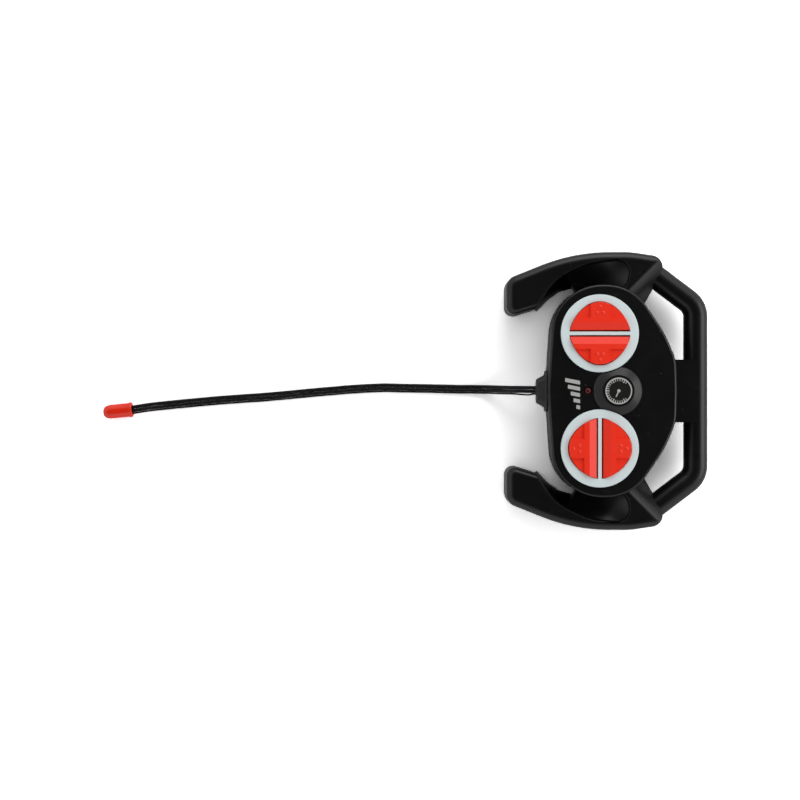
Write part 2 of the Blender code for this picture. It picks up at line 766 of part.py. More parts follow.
def placed(points, centre, heading, z):
    """Half-moon points turned to face heading, in radians from +Y, and moved off the ring's middle."""
    offset = CROSSBAR / 2 + BUTTON_GAP
    c, s = math.cos(heading), math.sin(heading)
    return [
        (centre[0] + x * c - (y + offset) * s, centre[1] + x * s + (y + offset) * c, z)
        for x, y in points
    ]


CONTROLS = {
    # name: (side of the console, way the bow points from +Y)
    "forward_button": (-1, 0.0),
    "reverse_button": (-1, math.pi),
    "left_button": (1, math.pi / 2),
    "right_button": (1, -math.pi / 2),
}


def control_place(name):
    side, heading = CONTROLS[name]
    return (side * RING_X, RING_Y), heading


def button_heights():
    top = DECK_Z + RING_PROUD + BUTTON_PROUD
    flange_top = DECK_Z + RING_PROUD - RING_THICK - GAP
    return top, flange_top, flange_top - FLANGE_THICK


def local_block(name, centre, heading, low, high):
    """Box in a button's own axes: x along the crossbar, y away from it."""
    ring = [(low[0], low[1]), (high[0], low[1]), (high[0], high[1]), (low[0], high[1])]
    return loft(name, [placed(ring, centre, heading, z) for z in (low[2], high[2])])


def button(name, finish):
    centre, heading = control_place(name)
    top, flange_top, flange_low = button_heights()
    edge = 0.4 * MM
    levels = [
        (FLANGE, FLANGE / 2, flange_low),
        (FLANGE, FLANGE / 2, flange_top),
        (0, 0, flange_top + 0.02 * MM),
        (0, 0, top - edge),
        (-edge, 0, top),
    ]
    sections = []
    for grow, flat, z in levels:
        outline = moon(BUTTON_R, grow, max(flat, 0.02 * MM))
        sections.append(placed(outline, centre, heading, z))
    made = loft(name, sections, finish)
    reach = BUTTON_R + 2 * MM
    step = STRIP + BAND
    for k, x in enumerate((-1, 1)):
        low_x, high_x = sorted((x * TAB_OF_BUTTON / 2, x * reach))
        low, high = (low_x, step, top - RELIEF), (high_x, reach, top + MM)
        cut(made, local_block(f"{name}_corner_{k}", centre, heading, low, high))
    section = [(-MM, top - 1.6 * RELIEF), (STRIP, top), (STRIP, top + MM), (-MM, top + MM)]
    ends = []
    for x in (-reach, reach):
        ends.append([placed([(x, y)], centre, heading, z)[0] for y, z in section])
    cut(made, loft(f"{name}_slope", ends))
    dot_y = step + 2.6 * MM
    dots = [(-DOT_SPREAD / 2, dot_y), (DOT_SPREAD / 2, dot_y), (0, dot_y + DOT_SPREAD)]
    for k, dot in enumerate(dots):
        (x, y, _) = placed([dot], centre, heading, 0)[0]
        profile = [(DOT_R, top - 0.2 * MM), (DOT_R, top + 0.15 * MM), (0.6 * DOT_R, top + 0.35 * MM)]
        fuse(made, turned(f"{name}_dot_{k}", profile, (x, y), 8))
    (x, y, _) = placed([(0, BUTTON_R / 2)], centre, heading, 0)[0]
    stem_low = BOARD_Z + BOARD_THICK + GAP + DOME_H + GAP
    fuse(made, column(f"{name}_stem", (x, y), STEM_R, stem_low, flange_low + 0.5 * MM, 12))
    return set_origin(made, (x, y, stem_low))


def rubber_dome(name, finish):
    """Silicone contact dome under a button's stem, standing on the board."""
    centre, heading = control_place(name)
    (x, y, _) = placed([(0, BUTTON_R / 2)], centre, heading, 0)[0]
    low = BOARD_Z + BOARD_THICK + GAP
    profile = [
        (DOME_R + MM, low),
        (DOME_R + MM, low + 0.5 * MM),
        (DOME_R, low + 0.6 * MM),
        (DOME_R - 0.5 * MM, low + 0.55 * DOME_H),
        (0.62 * DOME_R, low + 0.8 * DOME_H),
        (0.55 * DOME_R, low + DOME_H),
    ]
    return turned(name.replace("button", "dome"), profile, (x, y), 10, finish)


def bezel(name, side, finish):
    """Pale ring with a bar across its opening and a half-moon hole either side of the bar."""
    centre = (side * RING_X, RING_Y)
    high = DECK_Z + RING_PROUD
    low = high - RING_THICK
    edge = 0.5 * MM
    profile = [(RING_R - edge, low), (RING_R, low + edge), (RING_R, high - edge), (RING_R - edge, high)]
    made = turned(name, profile, centre, 36, finish)
    for control, (where, heading) in CONTROLS.items():
        if where != side:
            continue
        sections = [
            placed(moon(BUTTON_R, BUTTON_GAP, BUTTON_GAP), centre, heading, z)
            for z in (low - MM, high + MM)
        ]
        cut(made, loft(f"{name}_window_{control}", sections))
    return made


def gauge_dial(finish):
    low = DECK_Z + BOSS_H - DIAL_THICK
    profile = [(DIAL_R, low), (DIAL_R, low + DIAL_THICK)]
    return turned("gauge_dial", profile, (0, BOSS_Y), 32, finish)


def status_lamp(finish):
    """Round-nosed lamp with a collar below the deck and two legs down to the board."""
    collar = DECK_Z - DECK_THICK - GAP
    tip = DECK_Z + LED_PROUD
    profile = [(LED_R + 0.7 * MM, collar - MM), (LED_R + 0.7 * MM, collar), (LED_R, collar + 0.02 * MM)]
    for k in range(5):
        angle = math.pi / 2 * k / 4
        profile.append((max(LED_R * math.cos(angle), 0.2 * MM), tip - LED_R * (1 - math.sin(angle))))
    made = turned("status_lamp", profile, (0, LED_Y), 16, finish)
    board_top = BOARD_Z + BOARD_THICK
    for x in (-1, 1):
        low = (x * 1.27 * MM - 0.25 * MM, LED_Y - 0.25 * MM, board_top + GAP)
        high = (x * 1.27 * MM + 0.25 * MM, LED_Y + 0.25 * MM, collar - 0.5 * MM)
        fuse(made, block(f"lamp_leg_{x}", low, high))
    return made


# ---------------------------------------------------------------- electronics


def circuit_board(finish):
    corners = [
        (BOARD_HALF, BOARD_REAR, BOARD_CORNER_R, 1),
        (BOARD_HALF, BOARD_FRONT, BOARD_CORNER_R, 1),
        (-BOARD_HALF, BOARD_FRONT, BOARD_CORNER_R, 1),
        (-BOARD_HALF, BOARD_REAR, BOARD_CORNER_R, 1),
    ]
    levels = [(BOARD_Z, 0), (BOARD_Z + BOARD_THICK, 0)]
    board = moulding("circuit_board", corners, levels, finish=finish)
    for side in (-1, 1):
        place = (side * BOARD_POST_X, BOARD_POST_Y)
        cut(board, column(f"board_hole_{side}", place, BOARD_SCREW_R + GAP, 0, 40 * MM, 12))
    return board


def board_parts(black, can, blue):
    """Chip on the board; crystal, coil can and capacitor under its front edge."""
    chip_half, chip_y = 9.5 * MM, -6.5 * MM
    low = BOARD_Z + BOARD_THICK + GAP
    body = (-chip_half, chip_y - 3.2 * MM, low + 0.4 * MM), (chip_half, chip_y + 3.2 * MM, low + 3 * MM)
    chip = block("encoder_chip", *body, black)
    for k in range(7):
        x = (k - 3) * 2.54 * MM
        for side in (-1, 1):
            y = chip_y + side * 3.5 * MM
            pin = (x - 0.4 * MM, y - 0.5 * MM, low), (x + 0.4 * MM, y + 0.5 * MM, low + 1.5 * MM)
            fuse(chip, block(f"chip_pin_{k}_{side}", *pin))
    under = BOARD_Z - GAP
    stadium = [
        (5.4 * MM, -2.3 * MM, 2.2 * MM, 1),
        (5.4 * MM, 2.3 * MM, 2.2 * MM, 1),
        (-5.4 * MM, 2.3 * MM, 2.2 * MM, 1),
        (-5.4 * MM, -2.3 * MM, 2.2 * MM, 1),
    ]
    crystal_at = (-16 * MM, 12 * MM)
    shifted = [(x + crystal_at[0], y + crystal_at[1], r, s) for x, y, r, s in stadium]
    moulding("crystal", shifted, edge_levels(under - 8 * MM, under, 0.8 * MM, 0.2 * MM, 1), 3, finish=can)
    coil = [(2.4 * MM, under - 9 * MM), (3.6 * MM, under - 9 * MM), (3.6 * MM, under)]
    turned("coil_can", coil, (16 * MM, 12 * MM), 16, can)
    cap = [(2.1 * MM, under - 11 * MM), (2.5 * MM, under - 10.6 * MM), (2.5 * MM, under)]
    turned("capacitor", cap, (30 * MM, 12 * MM), 16, blue)


def wires(red, black):
    """Battery wires up past the compartment's front wall, and the antenna's wire."""
    (_, _, _), (x1, y1, _) = tub_limits()
    r = 0.6 * MM
    under = BOARD_Z - GAP
    for side, word, finish in ((1, "red", red), (-1, "black", black)):
        x = side * (x1 - 4 * MM)
        y = y1 + RIB + GAP + r
        route = [(x, y, 4 * MM), (x, y, 9 * MM), (x, y + 0.6 * MM, 15 * MM)]
        route.append((x - side * 2 * MM, y + 3 * MM, under))
        cord(f"battery_wire_{word}", smooth_route(route, 2.5 * MM), r, finish)
    inner = inner_wall_y(NECK_W / 2 + NECK_RIM) - NECK_RIM - 2 * GAP
    route = [(0, inner, PART_Z), (0, inner - 3 * MM, PART_Z + MM), (0, inner - 8 * MM, PART_Z + 3.5 * MM)]
    route.append((0, inner - 10.5 * MM, under))
    cord("antenna_wire", smooth_route(route, 2.5 * MM), r, black)


# ---------------------------------------------------------------- antenna


def inner_wall_y(x):
    """Inside of the console's front wall at x, where the front edge falls away from the middle."""
    return CONSOLE_FRONT - WALL - (CONSOLE_FRONT - LOBE_FRONT) * x / CONSOLE_HALF - 0.15 * MM


def antenna_base(finish):
    """Tapered strain relief held in the front wall by a neck and an inner flange."""
    face = CONSOLE_FRONT + GAP
    tip = face + BASE_FLANGE_T + BASE_DEPTH - GAP

    def section(y, width, height):
        x, z = width / 2, height / 2
        cut_off = 0.22 * height
        ring = [(x, -z + cut_off), (x, z - cut_off), (x - cut_off, z), (-x + cut_off, z)]
        ring += [(-x, z - cut_off), (-x, -z + cut_off), (-x + cut_off, -z), (x - cut_off, -z)]
        return [(px, y, PART_Z + pz) for px, pz in ring][::-1]

    inside = inner_wall_y(NECK_W / 2 + NECK_RIM) - GAP
    levels = [
        (inside - NECK_RIM, NECK_W + 2 * NECK_RIM, NECK_H + 2 * NECK_RIM),
        (inside, NECK_W + 2 * NECK_RIM, NECK_H + 2 * NECK_RIM),
        (inside + 0.02 * MM, NECK_W, NECK_H),
        (face - 0.02 * MM, NECK_W, NECK_H),
        (face, BASE_FLANGE, BASE_H),
        (face + BASE_FLANGE_T, BASE_FLANGE, BASE_H),
        (face + BASE_FLANGE_T + 0.02 * MM, BASE_WIDE, BASE_H - 2 * MM),
        (tip, BASE_TIP, BASE_H - 5 * MM),
    ]
    return loft("antenna_base", [section(*level) for level in levels], finish)


def antenna(lead_finish, cap_finish):
    route = np.array(LEAD_ROUTE) * MM
    points = smooth_route(route, LEAD_STEP)
    cord("antenna_lead", points, LEAD_R, lead_finish)
    bore = LEAD_R + GAP
    end = Vector(route[-1])
    axis = (end - Vector(route[-2])).normalized()
    mouth = end - axis * (CAP_BORE_DEPTH - GAP)
    barrel = CAP_R - CAP_LIP
    body = [(barrel, 0), (CAP_R, 0.5 * MM), (CAP_R, 1.6 * MM), (barrel, 2.0 * MM), (barrel, CAP_L - CAP_NOSE)]
    for k in range(1, 5):
        angle = math.pi / 2 * k / 4
        radius = max(barrel * math.cos(angle) ** 0.7, 0.4 * MM)
        body.append((radius, CAP_L - CAP_NOSE * (1 - math.sin(angle))))
    cap = turned_along("antenna_cap", body, mouth, axis, 20, cap_finish)
    hole = [(bore + 0.5 * MM, -MM), (bore, 0.6 * MM), (bore, CAP_BORE_DEPTH)]
    cut(cap, turned_along("cap_bore", hole, mouth, axis, 12))


def main():
    clear_scene()
    black = material("black_plastic", (0.012, 0.012, 0.013), 0.42)
    ring_grey = material("pale_grey_plastic", (0.62, 0.67, 0.70), 0.45)
    button_red = material("red_plastic", (0.83, 0.05, 0.02), 0.38)
    dial_print = material("dial_print", (0.02, 0.02, 0.02), 0.35)
    lamp_red = material("lamp_red", (0.30, 0.01, 0.01), 0.15)
    base_grey = material("dark_grey_rubber", (0.03, 0.03, 0.032), 0.6)
    cap_red = material("cap_orange_red", (0.86, 0.10, 0.03), 0.25)
    steel = material("steel", (0.6, 0.6, 0.6), 0.3, 1.0)
    board_tan = material("board_tan", (0.45, 0.28, 0.10), 0.5)
    chip_black = material("chip_black", (0.02, 0.02, 0.02), 0.6)
    cell_wrap = material("cell_wrap", (0.10, 0.16, 0.10), 0.35)
    dome_grey = material("dome_grey", (0.30, 0.30, 0.30), 0.7)
    sleeve_blue = material("sleeve_blue", (0.03, 0.07, 0.25), 0.4)
    wire_red = material("wire_red", (0.55, 0.02, 0.02), 0.45)

    form = housing_form()
    rooms = cavity_forms()
    shade(top_shell(form, rooms, black))
    shade(bottom_shell(form, rooms, black))
    battery_door(black)
    bezel("right_bezel", 1, ring_grey)
    bezel("left_bezel", -1, ring_grey)
    for name in CONTROLS:
        button(name, button_red)
        rubber_dome(name, dome_grey)
    gauge_dial(dial_print)
    status_lamp(lamp_red)
    for word, (x, y, _) in SCREW_PLACES.items():
        length = PART_Z + SCREW_BITE - SCREW_SEAT_Z
        seat = SCREW_SEAT_Z - GAP
        screw(f"housing_screw_{word}", (x, y), seat, length, SCREW_R, SCREW_HEAD_R, SCREW_HEAD_H, steel)
    for side, word in ((1, "right"), (-1, "left")):
        place = (side * BOARD_POST_X, BOARD_POST_Y)
        seat = BOARD_Z + BOARD_THICK + GAP
        head = (BOARD_SCREW_R, 2.1 * MM, 1.2 * MM)
        screw(f"board_screw_{word}", place, seat, 7 * MM, *head, steel, head_up=True)
    cells_and_contacts(cell_wrap, steel)
    circuit_board(board_tan)
    board_parts(chip_black, steel, sleeve_blue)
    wires(wire_red, chip_black)
    antenna_base(base_grey)
    antenna(black, cap_red)


main()
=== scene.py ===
# %% [markdown]
# # Dressing a toy's hand transmitter
#
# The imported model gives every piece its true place. This script gives them their looks: fine surfaces,
# printed marks, a soft antenna lead and procedural finishes. Lengths are in metres, +Y points along the
# antenna and +Z is up.

import json

import bpy
import numpy as np
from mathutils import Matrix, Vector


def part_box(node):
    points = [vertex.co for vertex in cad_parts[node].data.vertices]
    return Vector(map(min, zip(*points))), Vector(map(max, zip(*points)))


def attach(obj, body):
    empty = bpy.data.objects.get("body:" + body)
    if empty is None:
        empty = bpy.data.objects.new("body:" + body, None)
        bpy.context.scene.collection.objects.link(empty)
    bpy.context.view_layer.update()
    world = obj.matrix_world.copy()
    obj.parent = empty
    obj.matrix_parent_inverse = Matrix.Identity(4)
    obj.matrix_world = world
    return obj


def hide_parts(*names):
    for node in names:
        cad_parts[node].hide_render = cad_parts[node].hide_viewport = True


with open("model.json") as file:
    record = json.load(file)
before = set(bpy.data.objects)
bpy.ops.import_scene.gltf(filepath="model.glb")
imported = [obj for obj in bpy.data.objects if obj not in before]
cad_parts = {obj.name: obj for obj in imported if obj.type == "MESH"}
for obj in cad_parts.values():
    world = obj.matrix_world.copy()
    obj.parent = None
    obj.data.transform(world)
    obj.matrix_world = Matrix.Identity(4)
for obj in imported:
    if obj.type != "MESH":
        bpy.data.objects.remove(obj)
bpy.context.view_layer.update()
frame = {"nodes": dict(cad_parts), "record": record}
MM = 0.001
TAU = 2 * np.pi
BODY_OF = {node: body for body, nodes in frame["record"]["behaviour"]["bodies"].items() for node in nodes}


# %% [markdown]
# ## The camera
#
# The photograph looks straight down from about 75 cm, with the antenna to the left. A longer lens would
# hide the front walls of the housing, which the photograph shows as a thin lit band, so the height matters.

# %% Camera straight above, with the picture's top towards +X
EYE = (-4.85 * MM, 112.4 * MM, 750 * MM)
HALF_VIEW = 218.2 * MM  # half the picture's side, on the plane of the wheel bar
BAR_PLANE = 14 * MM
camera = bpy.data.objects.new("camera", bpy.data.cameras.new("camera"))
bpy.context.scene.collection.objects.link(camera)
camera.location = EYE
camera.rotation_euler = (0, 0, -TAU / 4)
camera.data.angle = 2 * np.arctan(HALF_VIEW / (EYE[2] - BAR_PLANE))
camera.data.clip_start, camera.data.clip_end = 0.02, 20
bpy.context.scene.camera = camera
bpy.context.scene.view_settings.view_transform = "Standard"
print(f"field of view {np.degrees(camera.data.angle):.1f} degrees")


# %% [markdown]
# ## Shader maths as Python
#
# A finish is easier to read as an expression than as a web of nodes. `Value` wraps an output socket, so
# that `1 - mask` or `height * 0.3` adds the Math node by itself; `Finish` holds one material and makes
# other nodes.

# %% Sockets that can be added and multiplied
class Value:
    """A number that changes over a surface: the output socket of a node."""

    def __init__(self, finish, socket):
        self.finish, self.socket = finish, socket

    def math(self, operation, *others, first=False):
        terms = [*others, self] if first else [self, *others]
        return self.finish.add("ShaderNodeMath", {"operation": operation}, dict(enumerate(terms)))

    def __add__(self, other): return self.math("ADD", other)
    def __sub__(self, other): return self.math("SUBTRACT", other)
    def __mul__(self, other): return self.math("MULTIPLY", other)
    def __pow__(self, other): return self.math("POWER", other)
    def __gt__(self, other): return self.math("GREATER_THAN", other)
    def __rsub__(self, other): return self.math("SUBTRACT", other, first=True)
    def __abs__(self): return self.math("ABSOLUTE")
    __radd__, __rmul__ = __add__, __mul__

    def fade(self, start, end):
        """0 before start, 1 after end, smooth in between; start may be the larger."""
        settings = {"interpolation_type": "SMOOTHSTEP"}
        sockets = {"Value": self, "From Min": start, "From Max": end}
        return self.finish.add("ShaderNodeMapRange", settings, sockets)


class Finish:
    """One material, with a Principled shader whose even values are set on its own sockets."""

    def __init__(self, name, colour, roughness, metallic=0.0, **even):
        self.material = bpy.data.materials.new(name)
        self.material.use_nodes = True
        self.tree = self.material.node_tree
        self.shader = self.tree.nodes["Principled BSDF"]
        self.feed(self.shader.inputs["Base Color"], (*colour, 1))
        self.feed(self.shader.inputs["Roughness"], roughness)
        self.feed(self.shader.inputs["Metallic"], metallic)
        for socket, value in even.items():
            self.feed(self.shader.inputs[socket.replace("_", " ").title().replace("Ior", "IOR")], value)

    def feed(self, socket, value):
        if isinstance(value, Value):
            self.tree.links.new(value.socket, socket)
        else:
            socket.default_value = value

    def add(self, kind, settings=(), sockets=(), output=0):
        """A node of this type, with its settings, then its sockets; returns one of its outputs."""
        node = self.tree.nodes.new(kind)
        for name, value in dict(settings).items():
            setattr(node, name, value)
        for name, value in dict(sockets).items():
            self.feed(node.inputs[name], value)
        return Value(self, node.outputs[output])

    def place(self, scale=(1, 1, 1), shift=(0, 0, 0)):
        """Object coordinates, which are the row frame's, moved by shift and then scaled."""
        spot = self.add("ShaderNodeTexCoord", output=3)
        moved = self.add("ShaderNodeVectorMath", {"operation": "ADD"}, {0: spot, 1: shift})
        return self.add("ShaderNodeVectorMath", {"operation": "MULTIPLY"}, {0: moved, 1: scale})

    def axes(self, shift=(0, 0, 0)):
        """x, y and z over the surface, in millimetres."""
        spot = self.place((1000, 1000, 1000), shift)
        return [self.add("ShaderNodeSeparateXYZ", sockets={0: spot}, output=k) for k in range(3)]

    def noise(self, size, detail=2.0, stretch=(1, 1, 1), roughness=0.5):
        """Cloudy noise about 0.5, with features about size across."""
        sockets = {"Vector": self.place(stretch), "Scale": 1 / size, "Detail": detail, "Roughness": roughness}
        return self.add("ShaderNodeTexNoise", sockets=sockets)

    def mix(self, share, low, high):
        """Colour low where share is 0, high where it is 1."""
        ends = [value if isinstance(value, Value) else (*value, 1) for value in (low, high)]
        sockets = {0: share, 6: ends[0], 7: ends[1]}
        return self.add("ShaderNodeMix", {"data_type": "RGBA"}, sockets, output=2)

    def relief(self, height, depth, strength=1.0):
        """Bumps the surface by a height from 0 to 1 that stands for depth."""
        sockets = {"Strength": strength, "Distance": depth, "Height": height}
        self.feed(self.shader.inputs["Normal"], self.add("ShaderNodeBump", sockets=sockets))

    def colour(self, value):
        self.feed(self.shader.inputs["Base Color"], value)

    def rough(self, value):
        self.feed(self.shader.inputs["Roughness"], value)


print("a finish is one material with one Principled shader")


# %% [markdown]
# ## The floor and the light
#
# The photograph is a product shot in a white tent: the ground clips to white, and the black housing shows
# light only where it turns to the side. So the sky is bright low down and dim overhead, where the camera
# looks in.

# %% White floor that still takes a shadow
def floor_finish():
    """White ground, brighter to the camera than to the object, as in an overexposed picture."""
    made = Finish("floor_white", (FLOOR, FLOOR, FLOOR), 0.9, specular_ior_level=0.0)
    seen = made.add("ShaderNodeLightPath")
    bright = made.add("ShaderNodeBsdfDiffuse", sockets={"Color": (FLOOR_SEEN, FLOOR_SEEN, FLOOR_SEEN, 1)})
    even = Value(made, made.shader.outputs[0])
    both = made.add("ShaderNodeMixShader", sockets={0: seen, 1: even, 2: bright})
    made.feed(made.tree.nodes["Material Output"].inputs["Surface"], both)
    return made.material


FLOOR_HALF, FLOOR_Z = 1.5, -0.05 * MM  # a hair under the housing, so that the two don't share a plane
FLOOR, FLOOR_SEEN = 0.80, 2.1  # share of light sent back, to the object and to the camera
sheet = bpy.data.meshes.new("floor")
corners = np.array([(-1, -1), (1, -1), (1, 1), (-1, 1)]) * FLOOR_HALF
corners = np.column_stack([corners, [FLOOR_Z] * 4])
sheet.from_pydata(corners.tolist(), [], [(0, 1, 2, 3)])
floor = bpy.data.objects.new("floor", sheet)
bpy.context.scene.collection.objects.link(floor)
sheet.materials.append(floor_finish())
print(f"floor {2 * FLOOR_HALF} m wide")

# %% Sky of a light tent
SKY_LOW, SKY_TOP = 1.25, 0.05  # strength beside the object and straight above it
TOP_EDGE, LOW_EDGE = 0.86, 0.52  # the sine of the height at which one turns into the other
world = bpy.data.worlds.new("tent")
world.use_nodes = True
bpy.context.scene.world = world
sky = world.node_tree


def sky_node(kind, sockets=(), output=0, **settings):
    node = sky.nodes.new(kind)
    for name, value in settings.items():
        setattr(node, name, value)
    for name, value in dict(sockets).items():
        if isinstance(value, bpy.types.NodeSocket):
            sky.links.new(value, node.inputs[name])
        else:
            node.inputs[name].default_value = value
    return node.outputs[output]


direction = sky_node("ShaderNodeTexCoord")
height = sky_node("ShaderNodeSeparateXYZ", {0: direction}, output=2)
ends = {"Value": height, "From Min": TOP_EDGE, "From Max": LOW_EDGE, "To Min": SKY_TOP, "To Max": SKY_LOW}
strength = sky_node("ShaderNodeMapRange", ends, interpolation_type="SMOOTHSTEP")
seen = sky_node("ShaderNodeLightPath")
white = sky_node("ShaderNodeMix", {0: seen, 2: strength, 3: 1.0})
sky.links.new(white, sky.nodes["Background"].inputs["Strength"])
sky.nodes["Background"].inputs["Color"].default_value = (1, 1, 1, 1)
print(f"sky: {SKY_LOW} low down, {SKY_TOP} overhead, 1 to the camera")


# %% Soft lamps that give the light a direction
def soft_lamp(name, place, size, power, aim=(0, 0, 0.015)):
    lamp = bpy.data.objects.new(name, bpy.data.lights.new(name, "AREA"))
    lamp.data.shape, lamp.data.size, lamp.data.size_y = "RECTANGLE", *size
    lamp.data.energy = power
    lamp.location = place
    back = np.array(place) - np.array(aim)
    turn = np.array([np.arctan2(np.hypot(back[0], back[1]), back[2]), 0, np.arctan2(back[0], -back[1])])
    lamp.rotation_euler = turn
    bpy.context.scene.collection.objects.link(lamp)
    print(f"{name}: {power} W, {np.linalg.norm(back):.2f} m off")


soft_lamp("side_lamp", (0.80, -0.15, 0.42), (0.8, 0.6), 3.2)
soft_lamp("rear_lamp", (0.05, -0.95, 0.50), (1.0, 0.6), 4.5)


# %% [markdown]
# ## Surfaces as grids
#
# Nearly every piece of this toy was shaped by a mould that opens along one line, so it can be read as a
# stack of sections. Each section is a closed loop, all loops of a piece have the same number of points, and
# flat caps close the ends. Two array formulas give all the faces at once, which no chain of modifiers does
# as plainly.

# %% Stacks of loops, adopted by the body that they ride on
def piece(name, points, faces):
    """Object of these points and faces."""
    mesh = bpy.data.meshes.new(name)
    mesh.from_pydata(np.asarray(points, float).reshape(-1, 3).tolist(), [], faces)
    mesh.update()
    made = bpy.data.objects.new(name, mesh)
    bpy.context.scene.collection.objects.link(made)
    return made


def skin(levels, count, start=0):
    """Quads between neighbouring loops, whose points run row by row from start, and the two end caps."""
    row = start + np.arange(levels - 1)[:, None] * count
    here, ahead = np.arange(count)[None], np.roll(np.arange(count), -1)[None]
    quads = np.stack([row + here, row + ahead, row + count + ahead, row + count + here], -1)
    last = start + (levels - 1) * count
    caps = [list(range(start, start + count))[::-1], list(range(last, last + count))]
    return quads.reshape(-1, 4).tolist() + caps


def stack(name, loops):
    """Closed skin over loops[level, point, xyz]; the caps are the first and the last loop."""
    loops = np.asarray(loops, float)
    return piece(name, loops, skin(*loops.shape[:2]))


def circles(line, across, up, radius, steps, way=1):
    """Loops round the points of a line: point + radius (cosine across + sine up), from angle 0, that way."""
    angle = way * np.arange(steps) / steps * TAU
    across, up = np.asarray(across, float)[..., None, :], np.asarray(up, float)[..., None, :]
    ring = np.cos(angle)[:, None] * across + np.sin(angle)[:, None] * up
    return line[:, None] + np.reshape(radius, (-1, 1, 1)) * ring


def turned(name, profile, centre, steps=96):
    """Solid of revolution about an upright axis: profile rows are (radius, z), from the bottom up."""
    radius, z = np.asarray(profile, float).T
    line = np.column_stack([np.full(len(z), centre[0]), np.full(len(z), centre[1]), z])
    return stack(name, circles(line, (1, 0, 0), (0, 1, 0), radius, steps))


def turned_along(name, profile, start, axis, steps=64):
    """Solid of revolution about a level axis: profile rows are (radius, distance from start)."""
    radius, reach = np.asarray(profile, float).T
    axis = np.asarray(axis, float) / np.linalg.norm(axis)
    across = np.array([-axis[1], axis[0], 0]) / np.hypot(axis[0], axis[1])
    line = np.asarray(start) + reach[:, None] * axis
    return stack(name, circles(line, across, np.cross(axis, across), radius, steps))


def block(name, low, high):
    """Box between two corners."""
    (x0, y0, z0), (x1, y1, z1) = low, high
    ring = [(x0, y0), (x1, y0), (x1, y1), (x0, y1)]
    return stack(name, [[(*corner, z) for corner in ring] for z in (z0, z1)])


def quarter(steps, start=0.0, end=0.25):
    """Cosines and sines over part of a turn."""
    angle = np.linspace(start, end, steps + 1) * TAU
    return np.cos(angle), np.sin(angle)


def quarter_round(radius, level, edge, steps, foot=False):
    """Rows (radius - edge (1 - cosine), level - edge (1 - sine)) up a rim; a foot's is upside down."""
    cosine, sine = quarter(steps)
    if foot:
        return np.stack([radius - edge * (1 - cosine), level + edge * (1 - sine)], -1)[::-1]
    return np.stack([radius - edge * (1 - cosine), level - edge * (1 - sine)], -1)


# %% Booleans and rounded edges, kept as plain mesh
def evaluated(made):
    """Turns a piece's modifiers into plain mesh, in place."""
    graph = bpy.context.evaluated_depsgraph_get()
    mesh = bpy.data.meshes.new_from_object(made.evaluated_get(graph))
    made.modifiers.clear()
    made.data = mesh
    return made


def combine(target, tools, operation="DIFFERENCE", solver="MANIFOLD"):
    """Boolean of target with each tool in turn, kept as plain mesh; the tools are used up."""
    for tool in tools:
        step = target.modifiers.new(operation.lower(), "BOOLEAN")
        step.object, step.operation, step.solver = tool, operation, solver
    evaluated(target)
    for tool in tools:
        bpy.data.objects.remove(tool)
    return target


def softened(made, width=0.0, sharp=38):
    """Rounds the crisp edges by width, and shades smoothly across all but sharp ones."""
    if width:
        step = made.modifiers.new("rounded_edges", "BEVEL")
        step.width, step.segments, step.limit_method = width, 3, "ANGLE"
        step.angle_limit = np.radians(sharp)
        step.miter_outer = "MITER_ARC"
        evaluated(made)
    made.data.shade_smooth()
    made.data.set_sharp_from_angle(angle=np.radians(sharp))
    step = made.modifiers.new("even_shading", "WEIGHTED_NORMAL")
    step.keep_sharp = True
    return made


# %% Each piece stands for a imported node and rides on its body
def adopt(made, node, finish, slot, *others):
    """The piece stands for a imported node, and for others that it covers, and takes a finish."""
    made.data.materials.clear()
    made.data.materials.append(finish)
    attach(made, BODY_OF[node])
    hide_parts(node, *others)
    print(f"{made.name}: {len(made.data.polygons)} faces")
    return made


def middle(node):
    """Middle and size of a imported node."""
    low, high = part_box(node)
    return (low + high) / 2, high - low


# %% [markdown]
# ## The antenna lead
#
# The antenna is soft: a flat lead of two strands side by side with a thin third wire along one edge. It
# leaves its base level, drops under its own weight and lies in a long shallow curve. A bevelled curve
# object would give one round tube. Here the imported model's route is read as one smooth curve and three
# tubes are carried along it, so that light catches the grooves between them.

# %% Route of the lead, from the base's tip to the bore of the cap
LEAD_ROUTE = np.array([
    (0.0, 38.4, 14.0), (0.0, 43.0, 13.8), (0.1, 49.0, 11.6), (0.3, 56.0, 7.2), (0.6, 63.0, 3.4),
    (0.8, 70.0, 1.9), (1.0, 80.0, 1.65), (1.3, 100.0, 1.65), (1.1, 118.0, 1.65), (0.2, 138.0, 1.65),
    (-0.9, 153.0, 1.65), (-2.9, 182.0, 1.65), (-4.8, 208.0, 1.65), (-7.0, 231.0, 1.65), (-8.6, 246.0, 2.3),
    (-9.5, 254.0, 3.9), (-9.9, 258.0, 4.2), (-10.3, 262.0, 4.2), (-10.6, 265.0, 4.2),
]) * MM


def smooth_route(points, reads):
    """Cubic between each two points, whose slope at a point is half the step between its two neighbours."""
    padded = np.vstack([2 * points[0] - points[1], points, 2 * points[-1] - points[-2]])
    a, b, c, d = padded[:-3], padded[1:-2], padded[2:-1], padded[3:]
    t = (np.arange(reads) / reads)[None, :, None]
    a, b, c, d = (each[:, None] for each in (a, b, c, d))
    square, cube = 2 * a - 5 * b + 4 * c - d, 3 * b - 3 * c + d - a
    curve = 0.5 * (2 * b + (c - a) * t + square * t**2 + cube * t**3)
    return np.vstack([curve.reshape(-1, 3), points[-1]])


lead_line = smooth_route(LEAD_ROUTE, 10)


